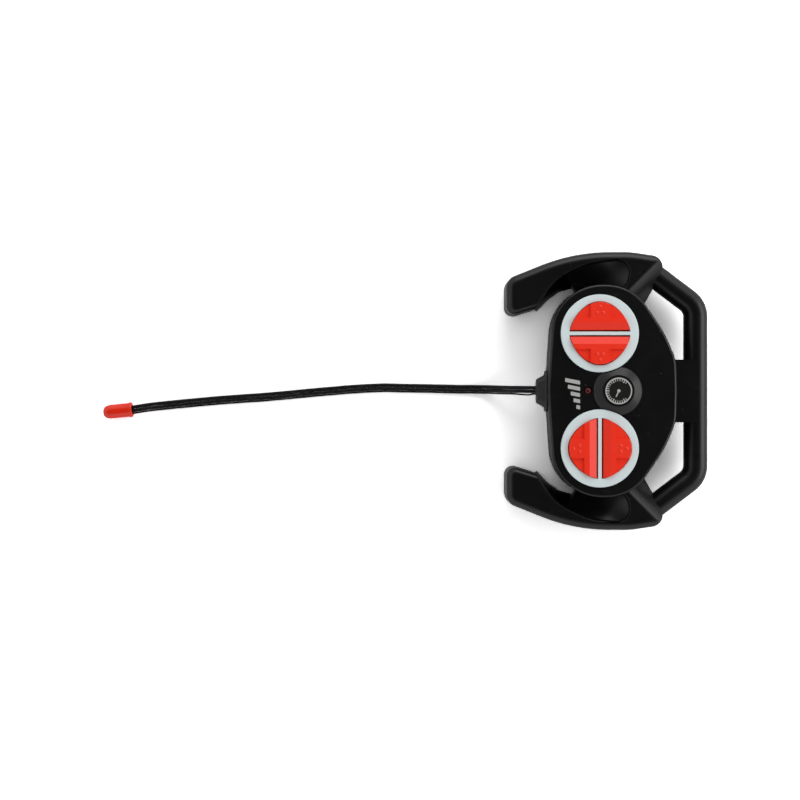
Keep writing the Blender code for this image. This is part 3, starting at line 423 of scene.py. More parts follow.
# %% Frames along the route, and tubes carried beside it
def frames(line):
    """Level sideways and upward unit vectors at each point of a line, both square to it."""
    along = np.gradient(line, axis=0)
    along /= np.linalg.norm(along, axis=1, keepdims=True)
    side = np.cross(along, (0, 0, 1.0))
    side /= np.linalg.norm(side, axis=1, keepdims=True)
    return side, np.cross(side, along)


def strand(line, offset, radius, steps=20):
    """Loops of a round strand whose centre runs beside the line, offset to its side and up (rows of two)."""
    side, up = frames(line)
    return circles(line + offset[:, :1] * side + offset[:, 1:] * up, side, up, radius, steps, -1)


def bundle(name, strands):
    """One mesh of several closed tubes."""
    faces, start = [], 0
    for loops in strands:
        levels, count = loops.shape[:2]
        faces += skin(levels, count, start)
        start += levels * count
    return piece(name, np.vstack([loops.reshape(-1, 3) for loops in strands]), faces)


STRAND_R, WIRE_R = 0.97 * MM, 0.48 * MM
HAIR = 0.02 * MM  # a step too small to see, which keeps one tube out of another
DRIFT_AT = np.array([47, 69, 80, 91, 102, 112, 121, 134, 156, 167, 178, 189, 205, 232, 254]) * MM
DRIFT = np.array([0.4, 0.3, 0.1, 0.2, 0.3, 0.5, 1, 1, 0.8, 0.5, 0.2, 0, 0.1, 0.3, 0.4]) * MM
BOW, BOW_FROM, BOW_RISE, BOW_TO, BOW_FALL = 0.45 * MM, 1.5 * MM, 2.5 * MM, 13 * MM, 9 * MM  # of the thin wire
CAP_HOLD = 14 * MM  # last stretch, which the cap keeps on its own axis
run = np.concatenate([[0], np.cumsum(np.linalg.norm(np.diff(lead_line, axis=0), axis=1))])
free = np.clip((run - BOW_FROM) / BOW_RISE, 0, 1) * np.clip((BOW_TO - run) / BOW_FALL, 0, 1)
free = free * free * (3 - 2 * free)  # where the thin wire bows away from the strands, near the base
held = np.clip((run[-1] - run) / CAP_HOLD, 0, 1)
drift = np.interp(lead_line[:, 1], DRIFT_AT, DRIFT) * held  # how far the pair wanders sideways
near = drift + WIRE_R * held + HAIR / 2
flat = np.zeros((len(lead_line), 1))
tubes = [strand(lead_line, np.hstack([(near + way * (STRAND_R + HAIR / 2))[:, None], flat]), STRAND_R)
         for way in (-1, 1)]
wire_side = near - 2 * STRAND_R - 2 * HAIR - WIRE_R - BOW * free
wire_up = (STRAND_R - WIRE_R) * -0.6 * (1 - free)
tubes.append(strand(lead_line, np.stack([wire_side, wire_up], -1), WIRE_R, 12))
lead = bundle("lead", tubes)


# %% [markdown]
# ## Finishes of the moulded plastics
#
# The shells, rings, buttons and door are all injection moulded. Such a surface has a fine even grain from
# the mould, slow waves in its gloss, and on black, the dust that it always attracts. Pictures could carry
# this, but noise worked out from the place on the piece has no seams and no end. One function gives all of
# it, and each plastic calls it with its own colour and gloss.

# %% One moulded plastic, with grain, gloss waves and dust
DUST_PITCH, DUST_EDGE, DUST_CORE = 3.2 * MM, 0.055, 0.030  # flecks: one to a cell at most, sized in cells


def moulded(name, colour, gloss, grain=0.5, dust=0.0, tint=0.06, **even):
    """Plastic: gloss is its roughness, grain its depth in hundredths of a mm, dust its share of flecks."""
    made = Finish(name, colour, gloss, **even)
    slow = made.noise(14 * MM, 3)
    darker, lighter = (tuple(c * k for c in colour) for k in (1 - tint, 1 + tint))
    ground = made.mix(slow, darker, lighter)
    texture = made.noise(0.28 * MM, 2.5)
    scuffs = made.noise(3.5 * MM, 5, (1, 0.35, 1), 0.65).fade(0.56, 0.72)
    roughness = gloss + (slow - 0.5) * 0.10 + scuffs * 0.07 + (texture - 0.5) * 0.12
    if dust:
        spots = {"Vector": made.place(), "Scale": 1 / DUST_PITCH}
        near, pick = (made.add("ShaderNodeTexVoronoi", sockets=spots, output=k) for k in (0, 1))
        chosen = made.add("ShaderNodeSeparateColor", sockets={0: pick})
        fleck = near.fade(DUST_EDGE, DUST_CORE) * (chosen > 1 - dust)
        ground = made.mix(fleck * 0.8, ground, (0.30, 0.30, 0.29))
        roughness = roughness + fleck * 0.3
    made.colour(ground)
    made.rough(roughness)
    made.relief(texture + slow * 0.6, grain * 0.01 * MM, 0.55)
    return made.material


BLACK = (0.0020, 0.0020, 0.0021)
black_plastic = moulded("black_plastic", BLACK, 0.33, 0.9, dust=0.16, specular_ior_level=0.33)
dark_grey_plastic = moulded("dark_grey_plastic", (0.012, 0.0125, 0.013), 0.52, 1.4, dust=0.05)
ring_plastic = moulded("pale_grey_plastic", (0.66, 0.745, 0.755), 0.38, 0.6, tint=0.03)
red_plastic = moulded("red_plastic", (0.87, 0.029, 0.009), 0.38, 0.5, tint=0.04)
print("four moulded plastics: black, dark grey, pale grey and red")


# %% Soft sheath and glossy cap
def lead_sheath():
    """Black vinyl: scuffed lengthwise, with faint bends where it was folded in its box."""
    made = Finish("lead_sheath", (0.004, 0.004, 0.004), 0.42, specular_ior_level=0.18)
    drawn = made.noise(0.9 * MM, 4, (1, 0.06, 1), 0.6)
    folds = made.noise(26 * MM, 1)
    made.rough(0.42 + (drawn - 0.5) * 0.12 + (folds - 0.5) * 0.10)
    made.colour(made.mix(drawn.fade(0.58, 0.75), (0.003, 0.003, 0.003), (0.006, 0.006, 0.006)))
    made.relief(drawn, 0.02 * MM, 0.4)
    return made.material


def cap_gloss():
    """Orange-red cap, glossier than the buttons, a little paler where it is handled."""
    made = Finish("cap_orange_red", (0.74, 0.022, 0.003), 0.28, coat_weight=0.1, coat_roughness=0.1,
                  specular_ior_level=0.35)
    slow = made.noise(6 * MM, 3)
    made.colour(made.mix(slow, (0.70, 0.016, 0.003), (0.80, 0.028, 0.004)))
    made.rough(0.27 + (made.noise(0.5 * MM, 3) - 0.5) * 0.12)
    made.relief(slow, 0.05 * MM, 0.3)
    return made.material


sheath, cap_plastic = lead_sheath(), cap_gloss()
softened(lead, sharp=50)
adopt(lead, "antenna_lead", sheath, "lead_sheath")

# %% [markdown]
# ## Cap and base of the antenna
#
# The cap is a turned piece: a lip round its mouth, a straight barrel and a blunt rounded nose, bored to
# take the lead. A half section that is turned about the lead's last stretch gives all of that. The base is
# a tapered block with bevelled corners behind a thin flange: eight-sided sections, one behind the other.

# %% Cap, turned about the lead's last stretch
CAP_R, CAP_L, CAP_LIP, CAP_NOSE = 4.15 * MM, 16 * MM, 0.3 * MM, 4.4 * MM
CAP_BORE, CAP_BORE_DEPTH = 1.9 * MM, 5 * MM
GAP = 0.3 * MM
cap_axis = LEAD_ROUTE[-1] - LEAD_ROUTE[-2]
cap_axis /= np.linalg.norm(cap_axis)
mouth = LEAD_ROUTE[-1] - cap_axis * (CAP_BORE_DEPTH - GAP)


def cap_profile():
    """Half section from the bore's floor round the lip to the nose, where radius falls as cosine^0.62."""
    barrel = CAP_R - CAP_LIP
    ease, rise = quarter(6)
    bore = [(0.2 * MM, CAP_BORE_DEPTH), (CAP_BORE, CAP_BORE_DEPTH), (CAP_BORE, 0.6 * MM)]
    rim = np.stack([CAP_BORE + 0.5 * MM * rise, 0.5 * MM * (1 - rise)], -1)
    rim[0, 1] = 0.55 * MM
    edge = np.stack([CAP_R - 0.4 * MM * (1 - rise), 0.4 * MM * (1 - ease)], -1)
    lip = [(CAP_R, 1.4 * MM), (CAP_R - 0.08 * MM, 1.65 * MM), (barrel, 1.9 * MM)]
    cosine, sine = quarter(16)
    nose = np.stack([barrel * cosine**0.62, CAP_L - CAP_NOSE * (1 - sine)], -1)
    nose[-1, 0] = 0.15 * MM
    return np.vstack([bore, rim, edge, lip, nose])


cap = softened(turned_along("cap", cap_profile(), mouth, cap_axis, 72), sharp=50)
adopt(cap, "antenna_cap", cap_plastic, "cap_orange_red")

# %% Base: flange and tapered block with bevelled corners
base_low, base_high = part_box("antenna_base")


def base_section(y, width, height, bevel=0.22):
    """Eight-sided section square to the antenna: a rectangle with its corners cut off."""
    x, z, cut = width / 2, height / 2, bevel * height
    ring = [(x - cut, -z), (-x + cut, -z), (-x, -z + cut), (-x, z - cut)]
    ring += [(-x + cut, z), (x - cut, z), (x, z - cut), (x, -z + cut)]
    return [(px, y, BAR_PLANE + pz) for px, pz in ring]


FLANGE, FLANGE_T, BASE_WIDE, BASE_TIP, BASE_H = 22.4 * MM, 0.9 * MM, 18 * MM, 12.9 * MM, 14 * MM
NECK_W, NECK_H, NECK_RIM = 10 * MM, 8 * MM, 1.5 * MM
BASE_DEPTH = 5 * MM
tip_y, inner_y = base_high.y, base_low.y
face_y = tip_y - FLANGE_T - BASE_DEPTH + GAP
sections = [
    (inner_y, NECK_W + 2 * NECK_RIM, NECK_H + 2 * NECK_RIM),
    (inner_y + NECK_RIM, NECK_W + 2 * NECK_RIM, NECK_H + 2 * NECK_RIM),
    (inner_y + NECK_RIM + HAIR, NECK_W, NECK_H),
    (face_y - HAIR, NECK_W, NECK_H),
    (face_y, FLANGE, BASE_H),
    (face_y + FLANGE_T, FLANGE, BASE_H),
    (face_y + FLANGE_T + HAIR, BASE_WIDE, BASE_H - 2 * MM),
    (tip_y, BASE_TIP, BASE_H - 5 * MM),
]
base = stack("antenna_base_piece", [base_section(*each) for each in sections])
softened(base, 0.25 * MM, 20)
adopt(base, "antenna_base", dark_grey_plastic, "dark_grey_plastic")


# %% [markdown]
# ## The two shells
#
# The housing is moulded in two halves that part at the middle of the bar. Both come from one outer form: a
# console with rounded lobes, two horn-shaped grips, a concave thumb scoop in each, and a round bar with a
# flat tab. It could be modelled as a cage and subdivided, but then no radius would be a real size. So each
# form is an outline carried up through levels, where a level is drawn in to round the edge, and booleans
# join and hollow them as the mould does.

# %% Outlines with round corners
def unit(rows):
    """Rows divided by their own lengths."""
    return rows / np.linalg.norm(rows, axis=1, keepdims=True)


def turn_of(a, b):
    """Cross product of plane vectors, row by row."""
    return a[:, 0] * b[:, 1] - a[:, 1] * b[:, 0]


def left_of(rows):
    """Plane vectors turned a quarter turn to the left."""
    return np.stack([-rows[:, 1], rows[:, 0]], 1)


def drawn_in(corners, inset):
    """Each side of corner rows (x, y, radius, share) moves inward by inset times its share."""
    here, radius, share = corners[:, :2], corners[:, 2], corners[:, 3]
    along = unit(np.roll(here, -1, 0) - here)
    depth = inset * share
    start = here + left_of(along) * depth[:, None]
    before, along_before, depth_before = (np.roll(each, 1, 0) for each in (start, along, depth))
    turn = turn_of(along_before, along)
    reach = turn_of(start - before, along) / turn
    corner = before + along_before * reach[:, None]
    kept = np.maximum(radius - np.copysign((depth_before + depth) / 2, turn), 0.05 * MM)
    return np.column_stack([corner, kept, share])


def rounded_outline(corners, steps):
    """Each corner becomes an arc that touches both its sides: its centre lies a radius off each of them."""
    here, radius = corners[:, :2], corners[:, 2]
    back = unit(here - np.roll(here, 1, 0))
    ahead = unit(np.roll(here, -1, 0) - here)
    turn = np.arctan2(turn_of(back, ahead), (back * ahead).sum(1))
    spoke = -left_of(back) * np.copysign(radius, turn)[:, None]
    centre = here - back * np.abs(radius * np.tan(turn / 2))[:, None] - spoke
    angle = turn[:, None] * np.linspace(0, 1, steps + 1)
    cosine, sine = np.cos(angle), np.sin(angle)
    x = centre[:, :1] + spoke[:, :1] * cosine - spoke[:, 1:] * sine
    y = centre[:, 1:] + spoke[:, :1] * sine + spoke[:, 1:] * cosine
    return np.stack([x, y], -1).reshape(-1, 2)


def edge_levels(low, high, low_r, high_r, steps=9):
    """Rows (z, inset) up an upright wall whose foot and top are quarter rounds."""
    cosine, sine = quarter(steps)
    foot = np.stack([low + low_r * (1 - sine), low_r * (1 - cosine)], -1)[::-1]
    top = np.stack([high - high_r * (1 - sine), high_r * (1 - cosine)], -1)
    return np.vstack([foot, top])


def moulding(name, corners, levels, steps=14):
    """An outline carried up through levels (z, inset)."""
    corners = np.asarray(corners, float)
    loops = []
    for z, inset in levels:
        outline = rounded_outline(drawn_in(corners, inset), steps)
        loops.append(np.column_stack([outline, np.full(len(outline), z)]))
    return stack(name, loops)


def corner_rows(rows, side=1):
    """Corner rows in metres, for the right side; for the left, x is negated and the order turned."""
    corners = np.array(rows, float) * (MM, MM, MM, 1)
    if side > 0:
        return corners
    flipped = corners[::-1] * (-1, 1, 1, 1)
    flipped[:, 3] = np.roll(flipped[:, 3], -1)  # a side's share stays with the side
    return flipped


print(f"edge levels: {len(edge_levels(0, 1, 0.1, 0.1))} to a moulding")


# %% Driving sizes of the housing, and its outlines
DECK, PARTING, WALL, DECK_WALL = 30 * MM, 14 * MM, 2 * MM, 2.5 * MM
CONSOLE_FRONT, CONSOLE_REAR, GRIP_TOP = 32.2 * MM, 35.6 * MM, 26.5 * MM
BAR_R, BAR_BACK, BAR_HALF, BAR_BEND_R, BAR_BORE_R = 6.45 * MM, 55.1 * MM, 46 * MM, 11 * MM, 4.2 * MM
TAB_HALF, TAB_THICK = 17 * MM, 11 * MM
DECK_EDGE_R, FOOT_EDGE_R, LEAN_OUT = 1.6 * MM, 1.5 * MM, 1.2 * MM
GRIP_TOP_R, GRIP_FOOT_R = 4.6 * MM, 5 * MM

# Corner rows: x, y and radius in millimetres, then the share of the rounding that the next side takes. On a
# grip, 0.22 keeps the edge of the scoop crisp while the outside rounds over.
CONSOLE_RIGHT = [(17, -35.2, 24, 1), (31.5, -28.8, 60, 1), (57, -11.6, 26, 1), (57, 28.4, 26, 1)]
CONSOLE_LEFT = [(-x, y, radius, share) for x, y, radius, share in reversed(CONSOLE_RIGHT)]
CONSOLE = corner_rows([*CONSOLE_RIGHT, (0, 32.2, 60, 1), *CONSOLE_LEFT, (0, -35.6, 60, 1)])
GRIP = [
    (72.1, -31.6, 6.4, 1), (75, -12, 50, 1), (75, 18.5, 100, 1), (60.3, 55.1, 7, 1),
    (39.4, 55.1, 4.8, 0.7), (44.2, 39.2, 2.5, 0.22), (60.2, 29, 34, 0.22), (69, 9.2, 34, 0.22),
    (70.2, -11.2, 6.2, 0.22), (57.2, -9.6, 7, 0.22), (50, 2, 1, 0), (38, -10, 1, 0),
    (42, -18.9, 1, 0.22), (56, -25.4, 6, 0.22),
]
HORN_ROOM = [
    (70.4, 21, 1.5, 1), (59.4, 52.3, 5, 1), (43.4, 52.3, 3, 1),
    (47.2, 41, 2, 1), (62.2, 31.5, 12, 1), (66.6, 21, 1, 1),
]
print(f"outlines: {len(CONSOLE)} corners round the console, {len(GRIP)} round a grip")


# %% The thumb scoop, a height over a four-sided plan
SCOOP_LOW, SCOOP_RISE, SCOOP_CURL, SCOOP_FOOT = 12 * MM, 13.5 * MM, 8 * MM, 4 * MM


def scoop(name, side, rows=44, columns=30):
    """Bilinear plan from front (t=0) to rear; height rises as t^1.8 and curls up as s^3 beside the rim."""
    plan = np.array([[47.0, 11.0], [65.4, 23.5], [72.4, -12.0], [47.0, -12.0]]) * MM
    t = np.linspace(0, 1, rows)[:, None]
    s = np.linspace(0, 1, columns)[None]
    weights = [(1 - s) * (1 - t), s * (1 - t), s * t, (1 - s) * t]
    x, y = (sum(w * plan[k, axis] for k, w in enumerate(weights)) for axis in (0, 1))
    z = SCOOP_LOW + SCOOP_RISE * t**1.8 + SCOOP_CURL * s**3 * (1 - t**2)
    top = np.stack([side * x, y, z], -1).reshape(-1, 3)
    foot = top.copy()
    foot[:, 2] = SCOOP_FOOT
    index = np.arange(rows * columns).reshape(rows, columns)
    quads = np.stack([index[:-1, :-1], index[1:, :-1], index[1:, 1:], index[:-1, 1:]], -1).reshape(-1, 4)
    rim = np.concatenate([index[:, 0], index[-1, 1:], index[-2::-1, -1], index[0, -2:0:-1]])
    walls = np.stack([rim, rim + index.size, np.roll(rim, -1) + index.size, np.roll(rim, -1)], -1)
    faces = np.vstack([quads, walls])
    floor_of = (rim + index.size)[::-1]
    if side < 0:
        faces, floor_of = faces[:, ::-1], floor_of[::-1]
    return piece(name, np.vstack([top, foot]), faces.tolist() + [floor_of.tolist()])


print(f"scoop: from {SCOOP_LOW / MM:.0f} mm up to {(SCOOP_LOW + SCOOP_RISE) / MM:.1f} mm")


# %% The low web that joins horn and arm below the scoop's mouth
def notch_web(name, side, levels=12):
    """Its front leaves the horn's wall by a share that falls as sine^1.5 on the way up."""
    inner = np.array([(44.0, 40.2, 21), (51.0, 35.6, 20), (60.0, 30.2, 17), (66.0, 20.0, 11.5)])
    outer = np.array([(44.2, 36.4, 1), (50.2, 30.8, 1), (54.8, 24.4, 1), (57.4, 15.5, 1)])
    back = np.array([(69.5, 14.0, 11.5), (70.0, 24.0, 19), (58.0, 40.0, 21), (47.0, 43.0, 21)])
    drop = np.linspace(1, 0, levels)[:, None, None]
    share = np.concatenate([np.sin(drop * TAU / 4) ** 1.5] * 2 + [drop], -1)
    front = inner + (outer - inner) * share
    behind = back + (back * (1, 1, 0) + (0, 0, 1) - back) * drop
    loops = np.concatenate([front, behind], 1) * (side * MM, MM, MM)
    return stack(name, loops if side > 0 else loops[:, ::-1])


# %% The bar, a circle carried along a bent line
BAR_SLANT, BAR_ARM = (17.0, 22.5), 28.2 * MM  # direction and length of the run from a bend to its grip


def bar_line(overrun, steps=16):
    """Level line from inside one grip, round two bends of one radius, into the other."""
    y = BAR_R - BAR_BACK
    end = np.array([BAR_HALF, y]) + np.array(BAR_SLANT) / np.hypot(*BAR_SLANT) * (BAR_ARM + overrun)
    corners = np.array([(*end, 0, 1), (BAR_HALF, y, BAR_BEND_R, 1), (-BAR_HALF, y, BAR_BEND_R, 1),
                        (-end[0], end[1], 0, 1)])
    bends = rounded_outline(corners, steps).reshape(4, -1, 2)[1:3].reshape(-1, 2)
    line = np.vstack([corners[0, :2], bends, corners[3, :2]])
    return np.column_stack([line, np.full(len(line), PARTING)])


def bar_solid(name, overrun, radius, steps):
    """Circles of one radius along the bar's line, each square to it."""
    line = bar_line(overrun)
    along = np.gradient(line, axis=0)
    across = unit(np.column_stack([along[:, 1], -along[:, 0], np.zeros(len(line))]))
    return stack(name, circles(line, across, (0, 0, 1), radius, steps, -1))


print(f"bar: {len(bar_line(0))} sections")


# %% The slope behind each arm
DIAGONAL, SLOPE_DROP, SLOPE_RUN = 0.7071, 7 * MM, 8 * MM  # it has fallen by the drop at the end of the run


def slope_cutter(name, side):
    """Cutter above the slope, which falls as reach^1.6 towards the window, from a line at 45 degrees."""
    crease = np.array([60.9, -15.7, 26.5]) * MM
    along, down = DIAGONAL * np.array([1, -1, 0]), DIAGONAL * np.array([-1, -1, 0])
    reach = np.linspace(0, 16, 15)[:, None] * MM
    slope = crease + down * reach - np.array([0, 0, 1]) * SLOPE_DROP * (reach / SLOPE_RUN) ** 1.6
    section = np.vstack([slope, slope[-1] + (0, 0, 40 * MM), crease + (0, 0, 20 * MM)])
    loops = np.stack([section + along * reach for reach in (-30 * MM, 26 * MM)])
    if side < 0:
        return stack(name, loops * (-1, 1, 1))
    return stack(name, loops[:, ::-1])


print(f"slope: falls {SLOPE_DROP / MM:.0f} mm over {SLOPE_RUN / MM:.0f} mm")


# %% Outer form of both shells
SIDES = {"right": 1, "left": -1}


def leaned(made, reach):
    """Moves the front forward by reach at the deck, less lower down and less towards the console's middle."""
    points = np.empty(len(made.data.vertices) * 3, np.float32)
    made.data.vertices.foreach_get("co", points)
    points = points.reshape(-1, 3)
    forward = np.clip(points[:, 1] / CONSOLE_FRONT, 0, 1)
    points[:, 1] += reach * points[:, 2] / DECK * forward**2 * (3 - 2 * forward)
    made.data.vertices.foreach_set("co", points.ravel())


def housing_form():
    """Console, bar, tab, and for each side a grip with its scoop and web, in one closed surface."""
    form = moulding("console", CONSOLE, edge_levels(0, DECK, FOOT_EDGE_R, DECK_EDGE_R), 24)
    leaned(form, LEAN_OUT)
    crest = PARTING + BAR_R
    tab = block("tab", (-TAB_HALF, BAR_R - BAR_BACK - 0.6 * MM, crest - TAB_THICK),
                (TAB_HALF, 4 * MM - CONSOLE_REAR, crest + 0.1 * MM))
    grips = []
    levels = edge_levels(0, GRIP_TOP, GRIP_FOOT_R, GRIP_TOP_R)
    for word, side in SIDES.items():
        grip = moulding(f"grip_{word}", corner_rows(GRIP, side), levels)
        combine(grip, [slope_cutter(f"slope_{word}", side)])
        grips += [grip, scoop(f"scoop_{word}", side), notch_web(f"web_{word}", side)]
    return combine(form, [bar_solid("bar", 5 * MM, BAR_R, 56), tab, *grips], "UNION")


def rooms():
    """Hollows of the console, the bar and the horns."""
    made = [moulding("console_room", CONSOLE, [(WALL, WALL), (DECK - DECK_WALL, WALL)])]
    made.append(bar_solid("bar_room", 0, BAR_BORE_R, 16))
    for side in SIDES.values():
        levels = [(WALL, 0), (GRIP_TOP - DECK_WALL, 0)]
        made.append(moulding(f"horn_room_{side}", corner_rows(HORN_ROOM, side), levels, 5))
    return made


def half_of(name, form, low, high):
    """The part of the outer form between two heights."""
    half = block(name, (-0.1, -0.1, low), (0.1, 0.1, high))
    copy = form.copy()
    copy.data = form.data.copy()
    bpy.context.scene.collection.objects.link(copy)
    return combine(half, [copy], "INTERSECT")


# %% Screws, neck and the other things that both halves make room for
SCREWS = {"front": (12.5 * MM, 24.5 * MM), "rear": (36.5 * MM, -19.5 * MM), "grip": (56 * MM, 43.5 * MM)}
SCREW_AT = {f"{word}_{way}": (side * x, y) for word, (x, y) in SCREWS.items() for way, side in SIDES.items()}
SCREW_R, HEAD_R, BOSS_WALL = 1.3 * MM, 2.7 * MM, 1.4 * MM
SCREW_BITE, HEAD_SEAT = 6.6 * MM, 7 * MM  # thread's way above the parting, and height of the seat of the head


def flared(name, place, radius, low, high, lip, steps=64, below=False):
    """Round cutter that flares by a quarter round, so that the hole it leaves has a rounded rim."""
    cosine, sine = quarter(6)
    if below:
        rim = np.stack([radius + lip * (1 - sine), low + lip * (1 - cosine)], -1)
        rows = [(radius + lip, low - MM), *rim, (radius, high)]
    else:
        rim = np.stack([radius + lip * (1 - sine), high - lip * (1 - cosine)], -1)[::-1]
        rows = [(radius, low), *rim, (radius + lip, high + 2 * MM)]
    return turned(name, rows, place, steps)


def column(name, place, radius, low, high, steps=32):
    """Upright cylinder."""
    return turned(name, [(radius, low), (radius, high)], place, steps)


def neck_hole():
    """Cutter for the opening that the antenna base's neck passes through."""
    half_w, half_h = NECK_W / 2 + GAP, NECK_H / 2 + GAP
    return block("neck_hole", (-half_w, CONSOLE_FRONT - 3 * WALL, PARTING - half_h),
                 (half_w, CONSOLE_FRONT + WALL, PARTING + half_h))


print(f"{len(SCREW_AT)} housing screws")


# %% Top shell: boss, screw posts, ring seats, lamp hole and dial recess
dial_at, dial_size = middle("gauge_dial")
lamp_at, lamp_size = middle("status_lamp")
ring_at, ring_size = middle("right_bezel")
RING_R, RING_X, RING_Y = ring_size.x / 2, ring_at.x, ring_at.y
RING_TOP, RING_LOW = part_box("right_bezel")[1].z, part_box("right_bezel")[0].z
BOSS_R, BOSS_TOP_R, BOSS_H = 13 * MM, 8.3 * MM, 3 * MM
LEDGE, LAMP_COLLAR = 2 * MM, 0.7 * MM  # what a ring rests on, and how far the lamp's collar stands out
ROOM_LOW = 20 * MM  # inside the console's room, where cutters through the deck end


def dial_boss():
    """Cone with a soft foot and a rounded shoulder, in whose top the dial lies."""
    rows = [(BOSS_R, DECK - MM), (BOSS_R, DECK + HAIR), (BOSS_R - 0.25 * MM, DECK + 0.3 * MM)]
    rows += [(BOSS_R - 0.7 * MM, DECK + 0.7 * MM), (BOSS_TOP_R + 0.6 * MM, DECK + BOSS_H - 0.42 * MM)]
    rows += [(BOSS_TOP_R + 0.25 * MM, DECK + BOSS_H - 0.16 * MM), (BOSS_TOP_R - 0.1 * MM, DECK + BOSS_H)]
    return turned("boss", rows, dial_at, 128)


def top_shell(form):
    """Upper half of the form less its rooms, with screw posts and boss, then cut for all that passes it."""
    shell = half_of("top_shell_piece", form, PARTING + GAP / 2, DECK + 5 * MM)
    combine(shell, rooms())
    radius = SCREW_R + GAP + BOSS_WALL
    posts = [dial_boss()]
    for word, place in SCREW_AT.items():
        ceiling = (GRIP_TOP if "grip" in word else DECK) - DECK_WALL + MM
        posts.append(column("post", place, radius, PARTING + GAP / 2, ceiling))
    combine(shell, posts, "UNION")
    cuts = [column("pilot", place, SCREW_R + GAP, PARTING - MM, PARTING + SCREW_BITE)
            for place in SCREW_AT.values()]
    for side in SIDES.values():
        centre = (side * RING_X, RING_Y)
        cuts.append(column("ring_hole", centre, RING_R - LEDGE, ROOM_LOW, DECK + 9 * MM, 128))
        cuts.append(flared("ring_seat", centre, RING_R + GAP, RING_LOW - GAP, DECK, 0.25 * MM, 160))
    cuts.append(flared("lamp_hole", lamp_at, lamp_size.x / 2 - LAMP_COLLAR + GAP, ROOM_LOW, DECK, 0.2 * MM))
    cuts.append(flared("dial_recess", dial_at, dial_size.x / 2 + GAP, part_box("gauge_dial")[0].z - GAP,
                       DECK + BOSS_H, 0.12 * MM, 128))
    return combine(shell, [*cuts, neck_hole()])


print(f"ring seats: {2 * (RING_R + GAP) / MM:.1f} mm wide, from {(RING_LOW - GAP) / MM:.1f} mm up")


# %% Bottom shell: battery tub, posts, counterbores and the door's way
CELL_R, CELL_L, CELL_PITCH, CELL_FIRST_Y = 7.25 * MM, 50.5 * MM, 15.3 * MM, -1.2 * MM
CELL_Z = middle("battery_front")[0].z
TUB_HALF = CELL_L / 2 + 3.4 * MM
TUB_FRONT, TUB_REAR = CELL_FIRST_Y + CELL_R + GAP, CELL_FIRST_Y - CELL_PITCH - CELL_R - GAP
TUB_TOP = CELL_Z + CELL_R + 2 * GAP
RIB, LIP, PLATE = 1.5 * MM, 2.4 * MM, 0.9 * MM
POST_X, POST_Y, POST_R, POST_BORE_R = 43 * MM, 13.5 * MM, 2.8 * MM, 1.4 * MM


def bottom_shell(form):
    """Lower half of the form less its rooms, with tub and posts, then cut for cells, door and screws."""
    shell = half_of("bottom_shell_piece", form, -5 * MM, PARTING - GAP / 2)
    combine(shell, rooms())
    low, high = (-TUB_HALF, TUB_REAR, WALL), (TUB_HALF, TUB_FRONT, TUB_TOP)
    posts = [block("tub", np.array(low) - (RIB, RIB, WALL / 2), np.array(high) + RIB)]
    board_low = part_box("circuit_board")[0].z
    for side in SIDES.values():
        posts.append(column("board_post", (side * POST_X, POST_Y), POST_R, WALL / 2, board_low - GAP))
    for place in SCREW_AT.values():
        posts.append(column("boss", place, HEAD_R + GAP + BOSS_WALL, WALL / 2, PARTING - GAP / 2))
    combine(shell, posts, "UNION")
    back, lip_z = -CONSOLE_REAR - 5 * MM, 2 * GAP + PLATE
    cuts = [block("tub_room", low, high)]
    cuts.append(block("door_way", (LIP - TUB_HALF, back, -2 * MM), (TUB_HALF - LIP, TUB_FRONT, lip_z + MM)))
    cuts.append(block("groove", (-TUB_HALF, back, lip_z), (TUB_HALF, TUB_FRONT, lip_z + PLATE + 2 * GAP)))
    for side in SIDES.values():
        low_z = board_low - 7 * MM
        cuts.append(column("board_bore", (side * POST_X, POST_Y), POST_BORE_R, low_z, DECK + 10 * MM))
    for place in SCREW_AT.values():
        cuts.append(flared("counterbore", place, HEAD_R + GAP, 0, HEAD_SEAT, 0.3 * MM, below=True))
        cuts.append(column("clearance", place, SCREW_R + GAP, MM, PARTING + 6 * MM))
    return combine(shell, [*cuts, neck_hole()])


print(f"battery tub: {2 * TUB_HALF / MM:.1f} x {(TUB_FRONT - TUB_REAR) / MM:.1f} mm")


# %% Both shells from one form
form = housing_form()
top = softened(top_shell(form), sharp=30)
bottom = softened(bottom_shell(form), sharp=30)
bpy.data.objects.remove(form)
adopt(top, "top_shell", black_plastic, "black_plastic")
adopt(bottom, "bottom_shell", black_plastic, "black_plastic")


# %% [markdown]
# ## Rings and buttons
#
# Each control is a pale ring with a bar across it and two red half-moon buttons. The moon's bow meets its
# bar at a lean, as a boat's side does: its width falls as the square root of 1 minus height to the power
# 1.4. Cut from a cylinder it would meet the bar squarely, so the bow is a formula, and it grows or shrinks
# for the flange, the key and its window. A button has a strip that slopes down to the bar, a band behind
# it, a tab between two sunken corners, and three dots that point outward.

# %% Half-moons
MOON_R, MOON_TALL, MOON_LEAN = 15.8 * MM, 15.0 * MM, 1.42
RING_BAR, PLAY = 2.3 * MM, 0.45 * MM
SLACK = 0.2 * MM  # more room beside the bar, on both sides of the gap
LIES = 0.26 * MM  # how far the keys lie towards the antenna in their windows
# Each control's side, and its turn from +Y.
CONTROLS = {"forward": (-1, 0.0), "reverse": (-1, 0.5), "left": (1, 0.25), "right": (1, -0.25)}


def moon(grow, flat, steps=80):
    """Half-moon in its own axes: the flat side lies at y = -flat, the bow reaches grow past its radius."""
    cosine, sine = quarter(steps, 0, 0.5)
    bow = np.stack([cosine, np.abs(sine) ** (2 / MOON_LEAN)], -1)
    return bow * (MOON_R + grow, MOON_TALL + grow + flat) - (0, flat)


